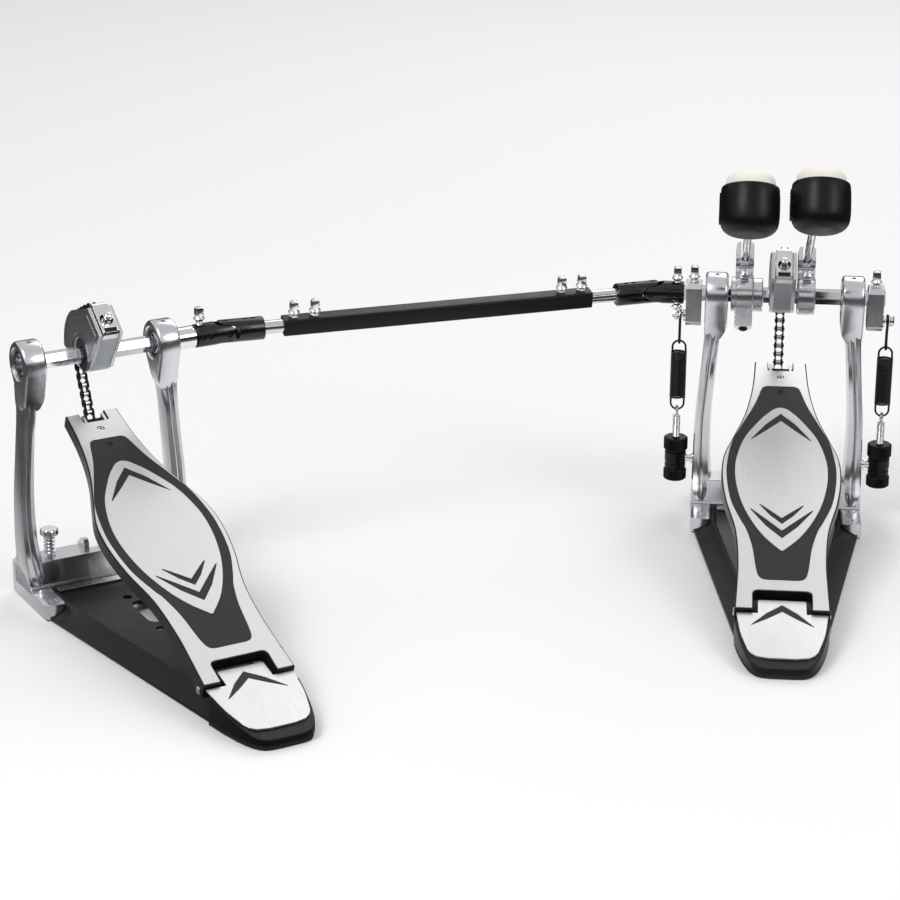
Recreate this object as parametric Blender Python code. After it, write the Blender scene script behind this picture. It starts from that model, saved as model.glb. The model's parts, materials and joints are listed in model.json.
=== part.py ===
"""Twin bass drum pedal: a main pedal with two beaters, a slave pedal, and the drive shaft between them.

All sizes below are in millimetres and turned into metres when a mesh is made.
Each pedal is built in its own frame: X across, Y from heel to drum, Z up, with the origin on the floor
under the middle of its axle. The main pedal's frame is the model's frame.
"""
import math

import bmesh
import bpy
from mathutils import Matrix, Vector

MM = 0.001
GAP = 0.3

# Where the slave pedal stands, in the main pedal's frame
SLAVE_X, SLAVE_Y, SLAVE_TURN = -483.0, -185.1, 34.58

# Axle and stand
AXLE_Z = 174.5
HEX_FLATS = 10.5
POST_OUTER_X, POST_INNER_X = 58.8, 42.0
HOUSING_R = 16.3
BORE_R = 11.3
CHEEK_X = 63.8
BEAM_TOP = 29.5

# Base plate and heel
PLATE_FRONT_Y, PLATE_HEEL_Y = 18.0, -249.4
PLATE_HALF_FRONT, PLATE_HALF_HEEL = 60.8, 30.3
PLATE_TOP = 9.0
HEEL_Y = -302.0
HEEL_SLOPE = math.tan(math.radians(13.3))
HINGE_PIN_Y, HINGE_PIN_Z, HINGE_PIN_R = -236.0, 19.5, 3.0

# Footboard, measured along its top face from its rear edge
BOARD_REAR_Y, BOARD_REAR_Z = -244.2, 26.1
BOARD_ANGLE = {"main": 19.0, "slave": 21.1}
BOARD_LENGTH = 277.0
BOARD_SKIRT = 9.5
BOARD_HALF_WIDTHS = [(0, 32.6), (25, 31.6), (50, 31.1), (82, 33.2), (113, 40.0), (140, 43.0), (163, 41.7),
                     (184, 35.5), (206, 28.4), (227, 23.7), (250, 20.7), (277, 19.3)]
TOE_PIN_ALONG, TOE_PIN_DEPTH = 272.0, 4.5

# Cam and chain
CAM_LEFT_X, CAM_RIGHT_X = -11.2, 6.8
CHAIN_X = -1.8
CHAIN_PITCH = 6.35
CHAIN_PITCH_R = 32.0
CHAIN_WIDTH, CHAIN_HEIGHT = 6.6, 5.4
WRAPPED_PARTS = 3
LINKS_PER_PART = 2

# Beaters: at rest each shaft leans back from upright by its LEAN, and each cup sits CUP_SHIFT off its shaft's middle
LEAN = {"left": 60.0, "right": 58.2}
CUP_SHIFT = {"left": -0.8, "right": 2.4}
SHAFT_OFFSET = 27.0
SHAFT_R = 2.8
CUP_REACH = 140.0
CUP_R, CUP_LENGTH, FELT_R, FELT_OUT = 20.8, 34.0, 17.5, 10.0
LEFT_HUB = (-36.8, -23.4)
RIGHT_HUB = (9.3, 22.3)

# Springs
SPRING_X = 77.0
STUD_DROP = 17.0
EYE_Z = 82.0
COIL_LOW, COIL_HIGH, COIL_R = 90.6, 129.0, 6.1

# Drive shaft, measured from the slave's universal joint
JOINT_X = 99.5
YOKE_R = 8.5
TUBE_START, TUBE_END, TUBE_SIZE, TUBE_ROLL = 42.8, 279.0, 12.4, 8.0
ROD_R = 5.0

ROUND = 24


# ---------------------------------------------------------------- shapes

def circle(cu, cv, radius, count=ROUND, start=0.0):
    """Points of a circle in a plane."""
    return [(cu + radius * math.cos(math.radians(start) + math.tau * i / count),
             cv + radius * math.sin(math.radians(start) + math.tau * i / count)) for i in range(count)]


def arc(cu, cv, radius, first, last, count):
    """Points of an arc, angles in degrees."""
    step = (last - first) / (count - 1)
    return [(cu + radius * math.cos(math.radians(first + step * i)),
             cv + radius * math.sin(math.radians(first + step * i))) for i in range(count)]


def hexagon(cu, cv, flats):
    """A hexagon with flats above and below."""
    return circle(cu, cv, flats / 2 / math.cos(math.radians(30)), 6)


def rounded_box(cu, cv, half_u, half_v, radius, count=3):
    """A rectangle with round corners."""
    points = []
    for quarter, (su, sv) in enumerate([(1, 1), (-1, 1), (-1, -1), (1, -1)]):
        points += arc(cu + su * (half_u - radius), cv + sv * (half_v - radius), radius,
                      quarter * 90, quarter * 90 + 90, count)
    return points


def smooth(points, steps=3):
    """A Catmull-Rom curve through the points."""
    ends = [points[0]] + list(points) + [points[-1]]
    curve = []
    for i in range(1, len(ends) - 2):
        p0, p1, p2, p3 = [Vector(p) for p in ends[i - 1:i + 3]]
        for k in range(steps):
            t = k / steps
            curve.append(tuple(0.5 * (2 * p1 + (p2 - p0) * t + (2 * p0 - 5 * p1 + 4 * p2 - p3) * t ** 2
                                      + (3 * p1 - p0 - 3 * p2 + p3) * t ** 3)))
    curve.append(tuple(points[-1]))
    return curve


def prism(outline, axis, low, high):
    """Extrude an outline along an axis. Outlines are (y, z) for x, (x, z) for y and (x, y) for z."""
    place = {"x": lambda u, v, w: (w, u, v), "y": lambda u, v, w: (u, w, v), "z": lambda u, v, w: (u, v, w)}[axis]
    return loft([[place(u, v, w) for u, v in outline] for w in (low, high)])


def loft(rings):
    """Join rings of points into one closed solid."""
    bm = bmesh.new()
    made = [[bm.verts.new(point) for point in ring] for ring in rings]
    for near, far in zip(made, made[1:]):
        for i in range(len(near)):
            j = (i + 1) % len(near)
            bm.faces.new((near[i], near[j], far[j], far[i]))
    bm.faces.new(made[0])
    bm.faces.new(made[-1])
    bmesh.ops.recalc_face_normals(bm, faces=bm.faces)
    return bm


def turned(profile, axis_from, axis_to, count=ROUND):
    """Turn a profile of (distance along, radius) points about the line between two points."""
    start, end = Vector(axis_from), Vector(axis_to)
    turn = (end - start).to_track_quat("Z", "X").to_matrix()
    rings = []
    for along, radius in profile:
        rings.append([start + turn @ Vector((u, v, along)) for u, v in circle(0, 0, radius, count)])
    return loft(rings)


def rod(axis_from, axis_to, radius, count=ROUND):
    """A plain cylinder between two points."""
    length = (Vector(axis_to) - Vector(axis_from)).length
    return turned([(0, radius), (length, radius)], axis_from, axis_to, count)


def box(x, y, z):
    """A box from three (low, high) pairs."""
    return prism([(x[0], y[0]), (x[1], y[0]), (x[1], y[1]), (x[0], y[1])], "z", z[0], z[1])


def moved(bm, matrix):
    """Move a shape and hand it back."""
    bmesh.ops.transform(bm, matrix=matrix, verts=bm.verts)
    return bm


def mirrored(bm):
    """A left-hand shape turned into its right-hand twin."""
    moved(bm, Matrix.Scale(-1, 4, Vector((1, 0, 0))))
    bmesh.ops.reverse_faces(bm, faces=bm.faces)
    return bm


def about_axle(degrees):
    """Turn about the axle line, tipping the top back for positive angles."""
    centre = Vector((0, 0, AXLE_Z))
    return Matrix.Translation(centre) @ Matrix.Rotation(math.radians(degrees), 4, "X") @ Matrix.Translation(-centre)


def as_object(bm, name):
    mesh = bpy.data.meshes.new(name)
    bm.to_mesh(mesh)
    bm.free()
    made = bpy.data.objects.new(name, mesh)
    bpy.context.scene.collection.objects.link(made)
    return made


def combine(operation, first, *others):
    """Boolean one shape with others in turn, and hand back the result."""
    body = as_object(first, "work_body")
    for other in others:
        tool = as_object(other, "work_tool")
        step = body.modifiers.new("step", "BOOLEAN")
        step.operation = operation
        step.solver = "EXACT"
        step.object = tool
        bpy.context.view_layer.update()
        result = bpy.data.meshes.new_from_object(body.evaluated_get(bpy.context.evaluated_depsgraph_get()))
        body.modifiers.clear()
        body.data = result
        bpy.data.objects.remove(tool, do_unlink=True)
    bm = bmesh.new()
    bm.from_mesh(body.data)
    bpy.data.objects.remove(body, do_unlink=True)
    bmesh.ops.remove_doubles(bm, verts=bm.verts, dist=0.002)
    bmesh.ops.dissolve_limit(bm, angle_limit=math.radians(0.3), verts=bm.verts, edges=bm.edges)
    return bm


def union(first, *others):
    return combine("UNION", first, *others)


def cut(first, *others):
    return combine("DIFFERENCE", first, *others)


# ---------------------------------------------------------------- scene helpers

def material(name, colour, metallic, roughness):
    made = bpy.data.materials.new(name)
    made.use_nodes = True
    shader = made.node_tree.nodes["Principled BSDF"]
    shader.inputs["Base Color"].default_value = (*colour, 1)
    shader.inputs["Metallic"].default_value = metallic
    shader.inputs["Roughness"].default_value = roughness
    made.diffuse_color = (*colour, 1)
    return made


FINISHES = {
    "cast": ((0.72, 0.73, 0.75), 1.0, 0.25),
    "chrome": ((0.83, 0.83, 0.84), 1.0, 0.08),
    "steel": ((0.62, 0.63, 0.65), 1.0, 0.3),
    "brushed": ((0.7, 0.7, 0.71), 1.0, 0.38),
    "black_metal": ((0.015, 0.015, 0.017), 0.3, 0.35),
    "black_plastic": ((0.02, 0.02, 0.022), 0.0, 0.4),
    "rubber": ((0.02, 0.02, 0.02), 0.0, 0.8),
    "felt": ((0.86, 0.82, 0.72), 0.0, 0.95),
}


def add(name, bm, finish, frame, pivot=(0, 0, 0)):
    """Make a named object in a frame, with its origin at the pivot."""
    bmesh.ops.recalc_face_normals(bm, faces=bm.faces)
    moved(bm, Matrix.Scale(MM, 4) @ Matrix.Translation(-Vector(pivot)))
    made = as_object(bm, name)
    made.data.name = name
    made.data.shade_smooth()
    made.data.set_sharp_from_angle(angle=math.radians(35))
    made.data.materials.append(material(name + "_finish", *FINISHES[finish]))
    made.parent = frame
    made.location = Vector(pivot) * MM
    return made


def empty(name, location, turn):
    made = bpy.data.objects.new(name, None)
    bpy.context.scene.collection.objects.link(made)
    made.location = Vector(location) * MM
    made.rotation_euler = (0, 0, math.radians(turn))
    return made


# ---------------------------------------------------------------- base and heel

def plate_half_width(y):
    """The base plate's half width: parallel under the stand, then tapering to the heel."""
    taper_from = -50.0
    if y > taper_from:
        return PLATE_HALF_FRONT
    share = (taper_from - y) / (taper_from - PLATE_HEEL_Y)
    return PLATE_HALF_FRONT + (PLATE_HALF_HEEL - PLATE_HALF_FRONT) * share


def plate_section(y, rib):
    """The pan section: sloping side flanges, a rib each side and a flat middle."""
    half = plate_half_width(y)
    side = [(half, 1.0), (half, 3.0), (half - 12, PLATE_TOP), (half - 14, PLATE_TOP + rib), (half - 16, PLATE_TOP)]
    under = [(-half + 2, 1.0), (-half + 13.5, PLATE_TOP - 2), (half - 13.5, PLATE_TOP - 2), (half - 2, 1.0)]
    return [(x, y, z) for x, z in side + [(-x, z) for x, z in reversed(side)] + under]


def base_plate():
    rings = [plate_section(y, rib) for y, rib in [(PLATE_FRONT_Y, 0.01), (-20, 0.01), (-26, 2), (-50, 2),
                                                  (-150, 2), (PLATE_HEEL_Y, 2)]]
    slot = rounded_box(0, -82.5, 8, 20.5, 7.9, 5)
    return cut(loft(rings), prism(slot, "z", 0, 20), rod((-5, -53, 0), (-5, -53, 20), 3.4, 16),
               rod((-6, -113, 0), (-6, -113, 20), 2.8, 16))


def front_foot():
    """Rubber pad under the front of the plate; it reaches out under the stand's cheeks."""
    half, thick = PLATE_HALF_FRONT, 0.7
    outline = [(-half - 2, 0), (half + 2, 0), (half + 2, thick), (half - 2.5, thick), (half - 14, 6.6),
               (-half + 14, 6.6), (-half + 2.5, thick), (-half - 2, thick)]
    return prism(outline, "y", -47, 17)


def heel_outline(inset=0.0, front=PLATE_HEEL_Y - GAP):
    side = [(32.5, front), (30.8, -262), (27.0, -280), (22.5, -293), (17.0, -300.2), (9.0, HEEL_Y)]
    side = [(max(x - inset, 1), y if y == front else y + inset) for x, y in side]
    return side + [(-x, y) for x, y in reversed(side)]


def heel_plane(y):
    """Height of the underside of the heel plate."""
    return 21.6 + (y - BOARD_REAR_Y) * HEEL_SLOPE


def heel_block():
    """Heel casting with a middle lug for the hinge pin."""
    body = prism(heel_outline(), "z", 3.3, 40)
    lug = box((-12, 12), (-255, -229), (PLATE_TOP + GAP, 40))
    body = union(body, lug)
    bmesh.ops.bisect_plane(body, geom=body.verts[:] + body.edges[:] + body.faces[:], dist=1e-5,
                           plane_co=(0, BOARD_REAR_Y, heel_plane(BOARD_REAR_Y) - GAP),
                           plane_no=(0, -HEEL_SLOPE, 1), clear_outer=True)
    bmesh.ops.holes_fill(body, edges=[edge for edge in body.edges if edge.is_boundary], sides=0)
    return cut(body, rod((-25, HINGE_PIN_Y, HINGE_PIN_Z), (25, HINGE_PIN_Y, HINGE_PIN_Z), HINGE_PIN_R + GAP, 16))


def heel_plate():
    """Brushed cover with a tab that reaches into the board's notch."""
    side = smooth([(31.0, -245.5), (28.4, -266.0), (23.6, -284.0)], 3) + [(21.5, -287.5), (17.3, -290.7)]
    side += [(9.0, -292.2)]
    side = [(16.6, -233.8), (16.6, -244.4), (31.0, -244.4)] + side
    flat = prism(side + [(-x, y) for x, y in reversed(side)], "z", 0, 1.3)
    for vert in flat.verts:
        vert.co.z += heel_plane(vert.co.y)
    return flat


def hinge_pin():
    return rod((-33.4, HINGE_PIN_Y, HINGE_PIN_Z), (33.4, HINGE_PIN_Y, HINGE_PIN_Z), HINGE_PIN_R, 16)


# ---------------------------------------------------------------- stand

def post():
    """One arched post, from its foot to its bearing housing."""
    sections = [(10.5, -56.2, 7.2, 0, 15), (26, -57.0, 6.8, 0, 12), (50, -57.3, 6.3, 1, 9.5),
                (78, -56.8, 6.5, 1.5, 8.7), (108, -54.5, 7.3, 1.5, 8.3), (138, -51.4, 7.9, 0, 9), (158, -50.4, 8.1, 0, 11)]
    return loft([[(x, y, z) for x, y in rounded_box(cx, cy, hx, hy, 4.5, 3)] for z, cx, hx, cy, hy in sections])


def housing():
    """Teardrop bearing housing."""
    outline = arc(0, AXLE_Z, HOUSING_R, -25, 205, 22) + arc(-2, 147, 5, 215, 325, 5)
    return prism(outline, "x", -POST_OUTER_X, -POST_INNER_X)


def foot_pad():
    outline = [(-63.5, 16.5), (-63.5, -44), (-61, -48.5), (-56, -50), (-51, -48.5), (-48.8, -44), (-48.8, 16.5)]
    return prism(outline, "z", PLATE_TOP + GAP, 13.5)


def cheek():
    outline = [(17, 2), (17, 24), (-2, 24), (-10, 20), (-18, 15.5), (-46, 12.5), (-52, 9.5), (-52, 4), (-49, 2)]
    return prism(outline, "x", -CHEEK_X, -CHEEK_X + 2.5)


def stand():
    """Both posts, their housings and feet, and the crossbeam with its hoop recess, cast in one."""
    beam = prism([(-17, PLATE_TOP + GAP), (-15, 26), (-12, BEAM_TOP), (9, BEAM_TOP), (12, 26),
                  (12, PLATE_TOP + GAP)], "x", -55, 55)
    lips = [box((x - 2, x + 2), (-1, 11.5), (20, 36)) for x in (-14, 14)]
    pieces = [post(), housing(), foot_pad(), cheek()]
    twins = [mirrored(shape) for shape in (post(), housing(), foot_pad(), cheek())]
    body = union(beam, *pieces, *twins, *lips)
    bore = rod((-80, 0, AXLE_Z), (80, 0, AXLE_Z), BORE_R)
    recess = box((-12, 12), (-1.5, 30), (19, 60))
    return cut(body, bore, recess)


def ring(x_low, x_high, outer, inner):
    """A bearing ring on the axle line."""
    return cut(rod((x_low, 0, AXLE_Z), (x_high, 0, AXLE_Z), outer),
               rod((x_low - 5, 0, AXLE_Z), (x_high + 5, 0, AXLE_Z), inner))


# ---------------------------------------------------------------- footboard

def board_frame(pedal):
    """From board coordinates (across, along, up from the top face) to the pedal's frame."""
    return Matrix.Translation((0, BOARD_REAR_Y, BOARD_REAR_Z)) @ Matrix.Rotation(
        math.radians(BOARD_ANGLE[pedal]), 4, "X")


def footboard(pedal):
    """Cast board: a deck with a skirt under its edges, hinge ears at the heel and a forked toe."""
    side = smooth(BOARD_HALF_WIDTHS, 2)
    outline = [(w, a) for a, w in side] + [(-w, a) for a, w in reversed(side)]
    shell = prism(outline, "z", -BOARD_SKIRT, 0)
    inner_side = [(a, w - 2.6) for a, w in side if 24 < a < BOARD_LENGTH - 20]
    hollow = prism([(w, a) for a, w in inner_side] + [(-w, a) for a, w in reversed(inner_side)], "z",
                   -BOARD_SKIRT - 5, -3.0)
    ears = [box((low, high), (1.0, 20), (-13, -1)) for low, high in ((20.6, 32.0), (-32.0, -20.6))]
    heel_notch = box((-20.2, 20.2), (-5, 18.6), (-30, 5))
    toe_notch = box((-9.2, 9.2), (266.5, 300), (-30, 5))
    to_pedal = board_frame(pedal)
    back = to_pedal.inverted()
    pin = Vector((0, HINGE_PIN_Y, HINGE_PIN_Z))
    pin_hole = rod(back @ (pin - Vector((50, 0, 0))), back @ (pin + Vector((50, 0, 0))), HINGE_PIN_R + GAP, 16)
    ear_ends = [moved(rod((low, 0, 0), (high, 0, 0), 5.6, 16), Matrix.Translation(back @ pin))
                for low, high in ((20.6, 32.0), (-32.0, -20.6))]
    body = union(cut(shell, hollow), *ears, *ear_ends)
    body = cut(body, heel_notch, toe_notch, pin_hole)
    return moved(body, to_pedal)


def toe_pin(pedal):
    """Where the chain meets the board."""
    return board_frame(pedal) @ Vector((0, TOE_PIN_ALONG, -TOE_PIN_DEPTH))


# ---------------------------------------------------------------- axle, cam and chain

def hex_bar(x_low, x_high, flats=HEX_FLATS):
    return prism(hexagon(0, AXLE_Z, flats), "x", x_low, x_high)


def hex_hole():
    return hex_bar(-200, 200, HEX_FLATS + 2 * GAP)


def cam_outline(edge_r):
    """Side view of the cam, as offsets from the axle; the drum side is an arc."""
    player_side = [(-14.2, -7.5), (-35.9, 23.6), (-16.5, 38.4)]
    return player_side + arc(0, 0, edge_r, 62, -4, 9) + [(24.5, -4.0), (12, -10), (-6, -11.5)]


def cam():
    """Two side plates and a narrower web that the chain lies on."""
    plate = [(y, AXLE_Z + z) for y, z in cam_outline(33.0)]
    slot_half = CHAIN_WIDTH / 2 + 0.7
    body = prism(plate, "x", CAM_LEFT_X, CAM_RIGHT_X)
    floor = circle(0, AXLE_Z, 27.0, 36)
    outside = prism(circle(0, AXLE_Z, 60, 36), "x", CHAIN_X - slot_half, CHAIN_X + slot_half)
    web = prism(floor, "x", CAM_LEFT_X - 5, CAM_RIGHT_X + 5)
    clip_seat = box((CAM_LEFT_X - 5, CAM_RIGHT_X + 5), (-60, -22), (AXLE_Z - 30, AXLE_Z + 19))
    groove = cut(outside, web, clip_seat)
    return cut(body, groove, hex_hole())


def chain_points(pedal):
    """Pivots of the wrapped chain on the cam, the point where it leaves, and the toe pin (all as y, z)."""
    toe = toe_pin(pedal)
    offset = Vector((toe.y, toe.z - AXLE_Z))
    leave = math.degrees(math.atan2(offset.y, offset.x) + math.acos(CHAIN_PITCH_R / offset.length))
    step = 2 * math.degrees(math.asin(LINKS_PER_PART * CHAIN_PITCH / 2 / CHAIN_PITCH_R))
    angles = [leave + step * (WRAPPED_PARTS - k) for k in range(WRAPPED_PARTS + 1)]
    pivots = [(CHAIN_PITCH_R * math.cos(math.radians(angle)),
               AXLE_Z + CHAIN_PITCH_R * math.sin(math.radians(angle))) for angle in angles]
    return pivots, (toe.y, toe.z)


def chain_bar(near, far, short=1.5):
    """One stiff length of chain between two pivots, stopping short of both."""
    start, end = Vector(near), Vector(far)
    along = (end - start).normalized()
    across = Vector((-along.y, along.x)) * CHAIN_HEIGHT / 2
    start, end = start + along * short, end - along * short
    outline = [tuple(start - across), tuple(end - across), tuple(end + across), tuple(start + across)]
    return prism(outline, "x", CHAIN_X - CHAIN_WIDTH / 2, CHAIN_X + CHAIN_WIDTH / 2)


def chain_clip(pedal):
    """Clamp plate on the cam's player side, holding the last links of the chain."""
    pivots, _ = chain_points(pedal)
    first = math.degrees(math.atan2(pivots[0][1] - AXLE_Z, pivots[0][0]))
    low, high = CHAIN_PITCH_R - CHAIN_HEIGHT / 2, CHAIN_PITCH_R + CHAIN_HEIGHT / 2
    start = first + math.degrees(1.5 / CHAIN_PITCH_R)
    wrap = arc(0, AXLE_Z, high, start, 118, 6) + arc(0, AXLE_Z, low, 118, start, 6)
    links = prism(wrap, "x", CHAIN_X - CHAIN_WIDTH / 2, CHAIN_X + CHAIN_WIDTH / 2)
    plate = prism([(-12.5, AXLE_Z + 31.0), (-33.0, AXLE_Z + 19.6), (-35.5, AXLE_Z + 23.5),
                   (-16.5, AXLE_Z + 38.0), (-11.5, AXLE_Z + 36.5)], "x", CHAIN_X - 3.6, CHAIN_X + 3.6)
    return union(links, plate)


# ---------------------------------------------------------------- beaters

def hub(x_low, x_high):
    """Ring on the axle with an offset block that grips the beater shaft (built with the shaft upright)."""
    middle = (x_low + x_high) / 2
    wheel = rod((x_low, 0, AXLE_Z), (x_high, 0, AXLE_Z), 14.0)
    neck = box((x_low + 0.4, x_high - 0.4), (6, 22), (AXLE_Z - 7.5, AXLE_Z + 7.5))
    grip = prism(rounded_box(middle, SHAFT_OFFSET, (x_high - x_low) / 2 - 0.2, 9.5, 4, 3), "z",
                 AXLE_Z - 8.5, AXLE_Z + 8.5)
    return union(wheel, neck, grip)


def hub_holes(x_low, x_high):
    middle = (x_low + x_high) / 2
    return [hex_hole(), rod((middle, SHAFT_OFFSET, AXLE_Z - 40), (middle, SHAFT_OFFSET, AXLE_Z + 40), SHAFT_R + GAP, 16)]


def left_hub():
    """The slave's beater hub has a flange, a collar and a lower lobe as well."""
    x_low, x_high = LEFT_HUB
    flange = rod((-39.6, 0, AXLE_Z), (x_low + 1, 0, AXLE_Z), 13.0)
    collar = rod((x_high - 1, 0, AXLE_Z), (-16.4, 0, AXLE_Z), 12.6)
    lobe = prism(rounded_box((x_low + x_high) / 2, -18, (x_high - x_low) / 2 - 0.3, 8, 3, 3), "z",
                 AXLE_Z - 7, AXLE_Z + 7)
    body = union(hub(x_low, x_high), flange, collar, lobe)
    return cut(body, *hub_holes(x_low, x_high))


def right_hub():
    return cut(hub(*RIGHT_HUB), *hub_holes(*RIGHT_HUB))


def beater_shaft(x):
    tail, tip = AXLE_Z - 30, AXLE_Z + CUP_REACH - CUP_R - GAP
    return turned([(0, SHAFT_R - 0.8), (1, SHAFT_R), (tip - tail, SHAFT_R)], (x, SHAFT_OFFSET, tail),
                  (x, SHAFT_OFFSET, tip), 16)


def beater_cup(x):
    """Barrel-shaped cup, open towards the drum, with a round back edge."""
    half = CUP_LENGTH / 2
    outer = [(0, CUP_R - 8.5), (1.2, CUP_R - 4.6), (3.6, CUP_R - 1.8), (7.5, CUP_R - 0.2), (half, CUP_R + 0.2),
             (CUP_LENGTH - 1, CUP_R - 0.3), (CUP_LENGTH, CUP_R - 0.9)]
    height = AXLE_Z + CUP_REACH
    back = SHAFT_OFFSET - half
    body = turned(outer, (x, back, height), (x, back + 1, height), 28)
    mouth = rod((x, back + CUP_LENGTH - 12, height), (x, back + CUP_LENGTH + 9, height), FELT_R + GAP, 28)
    return cut(body, mouth)


def beater_felt(x):
    height = AXLE_Z + CUP_REACH
    back = SHAFT_OFFSET + CUP_LENGTH / 2 - 12 + GAP
    length = 12 + FELT_OUT - GAP
    profile = [(0, FELT_R), (length - 4.5, FELT_R), (length - 2, FELT_R - 1.6), (length - 0.5, FELT_R - 4.5),
               (length, FELT_R - 9)]
    return turned(profile, (x, back, height), (x, back + 1, height), 28)


# ---------------------------------------------------------------- spring gear

def crank():
    """Left spring crank: a block on the axle with a stud that the spring hook hangs on."""
    block = prism(rounded_box(0, AXLE_Z - 7.2, 8.5, 16.4, 2.5, 3), "x", -73.2, -61.4)
    stud_z = AXLE_Z - STUD_DROP
    stud = turned([(0, 2.6), (8.5, 2.6), (8.6, 4.0), (10.2, 4.0)], (-72, 0, stud_z), (-90, 0, stud_z), 16)
    return cut(union(block, stud), hex_hole())


def spring_coil():
    body = turned([(0, 1.2), (COIL_LOW - EYE_Z - 5.5, 1.2), (COIL_LOW - EYE_Z - 5, COIL_R),
                   (COIL_HIGH - EYE_Z - 5, COIL_R)], (-SPRING_X, 0, EYE_Z + 5), (-SPRING_X, 0, COIL_HIGH), 16)
    return body


def spring_hook():
    return rod((-SPRING_X, 0, COIL_HIGH + GAP), (-SPRING_X, 0, AXLE_Z - STUD_DROP - 6.5), 1.3, 8)


def spring_adjuster():
    """Eye bolt with two knurled nuts above and below a block on a stud out of the post."""
    x = -SPRING_X
    bolt = rod((x, 0, 24.5), (x, 0, EYE_Z - 2), 2.4, 12)
    eye = cut(rod((x, -1.6, EYE_Z), (x, 1.6, EYE_Z), 4.3, 16), rod((x, -5, EYE_Z), (x, 5, EYE_Z), 1.9, 12))
    top_nut = turned([(0, 8.4), (0.8, 9.1), (8.2, 9.1), (9, 8.4)], (x, 0, 50.5), (x, 0, 60), 20)
    block = prism(rounded_box(x, 0, 7.8, 7.8, 1.5, 3), "z", 34.5, 50.6)
    low_nut = turned([(0, 8.0), (0.8, 8.8), (7.6, 8.8), (8.4, 8.0)], (x, 0, 26.2), (x, 0, 60), 20)
    stud = rod((x, 0, 43), (-64.2, 0, 43), 3.4, 16)
    return union(bolt, eye, top_nut, block, low_nut, stud)


# ---------------------------------------------------------------- universal joints and drive shaft

def yoke(direction, upright, reach):
    """A fork with its joint centre at the origin and its barrel towards +X or -X.

    direction is 1 or -1; upright forks have a vertical cross pin, the others a level one.
    """
    barrel = rod((13 * direction, 0, 0), (reach * direction, 0, 0), YOKE_R, 20)
    arms = []
    for side in (1, -1):
        outline = [(13.5 * direction, -4.6), (13.5 * direction, 4.6)] + [
            (direction * u, v) for u, v in arc(0, 0, 4.6, 90, 270, 7)]
        arms.append(prism(outline, "z", 5.4 * side, 8.2 * side))
    body = union(barrel, *arms)
    body = cut(body, rod((0, 0, -12), (0, 0, 12), 2.5, 12))
    if not upright:
        moved(body, Matrix.Rotation(math.radians(90), 4, "X"))
    return body


def cross():
    """Two pins at right angles with a solid middle."""
    middle = rod((0, 0, -3.6), (0, 0, 3.6), 3.6, 16)
    return union(middle, rod((0, 0, -7.9), (0, 0, 7.9), 1.9, 12), rod((0, -7.9, 0), (0, 7.9, 0), 1.9, 12))


def left_stub_yoke():
    """Hex stub through the left bearing, with the shaft yoke on its outer end."""
    fork = moved(yoke(1, False, 24.8), Matrix.Translation((-JOINT_X, 0, AXLE_Z)))
    return union(fork, hex_bar(-JOINT_X + 20, -17.5))


def slave_yoke():
    return moved(yoke(-1, False, 24.8), Matrix.Translation((JOINT_X, 0, AXLE_Z)))


def shaft_rod(direction):
    """Outer yoke and its rod, which slides into the square tube; X runs along the shaft."""
    end = (TUBE_START + 22) * direction
    return union(yoke(direction, True, 28.4), rod((20 * direction, 0, 0), (end, 0, 0), ROD_R, 16))


def shaft_tube():
    outer = rounded_box(0, 0, TUBE_SIZE / 2, TUBE_SIZE / 2, 1.6, 3)
    inner = rounded_box(0, 0, TUBE_SIZE / 2 - 0.85, TUBE_SIZE / 2 - 0.85, 1.0, 3)
    body = cut(prism(outer, "x", TUBE_START, TUBE_END), prism(inner, "x", TUBE_START - 5, TUBE_END + 5))
    return moved(body, Matrix.Rotation(math.radians(TUBE_ROLL), 4, "X"))


# ---------------------------------------------------------------- clamp and anchor

def hoop_jaw():
    """Jaw that presses the drum's hoop onto the base plate."""
    outline = [(0, 24), (1.5, 31), (8, 34), (22, 31.5), (27, 28), (27, 24), (20, 25.5), (8, 22.5), (2, 21)]
    return prism(outline, "x", -11.2, 11.2)


def hoop_screw():
    """Wing screw behind the recess."""
    stem = rod((0, -8, BEAM_TOP + GAP), (0, -8, 44), 2.6, 12)
    wings = prism(rounded_box(0, 46, 11, 4.0, 3, 4), "y", -10.2, -5.8)
    return union(stem, wings)


def anchor_screw():
    """Knurled screw with a collar on the slave's crossbeam."""
    x, y = -42.0, -2.0
    return turned([(0, 4.0), (14.4, 4.0), (14.7, 5.2), (15.5, 5.8), (23.0, 5.8), (24.2, 4.6)],
                  (x, y, BEAM_TOP + GAP), (x, y, 60), 20)


# ---------------------------------------------------------------- assembly

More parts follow.
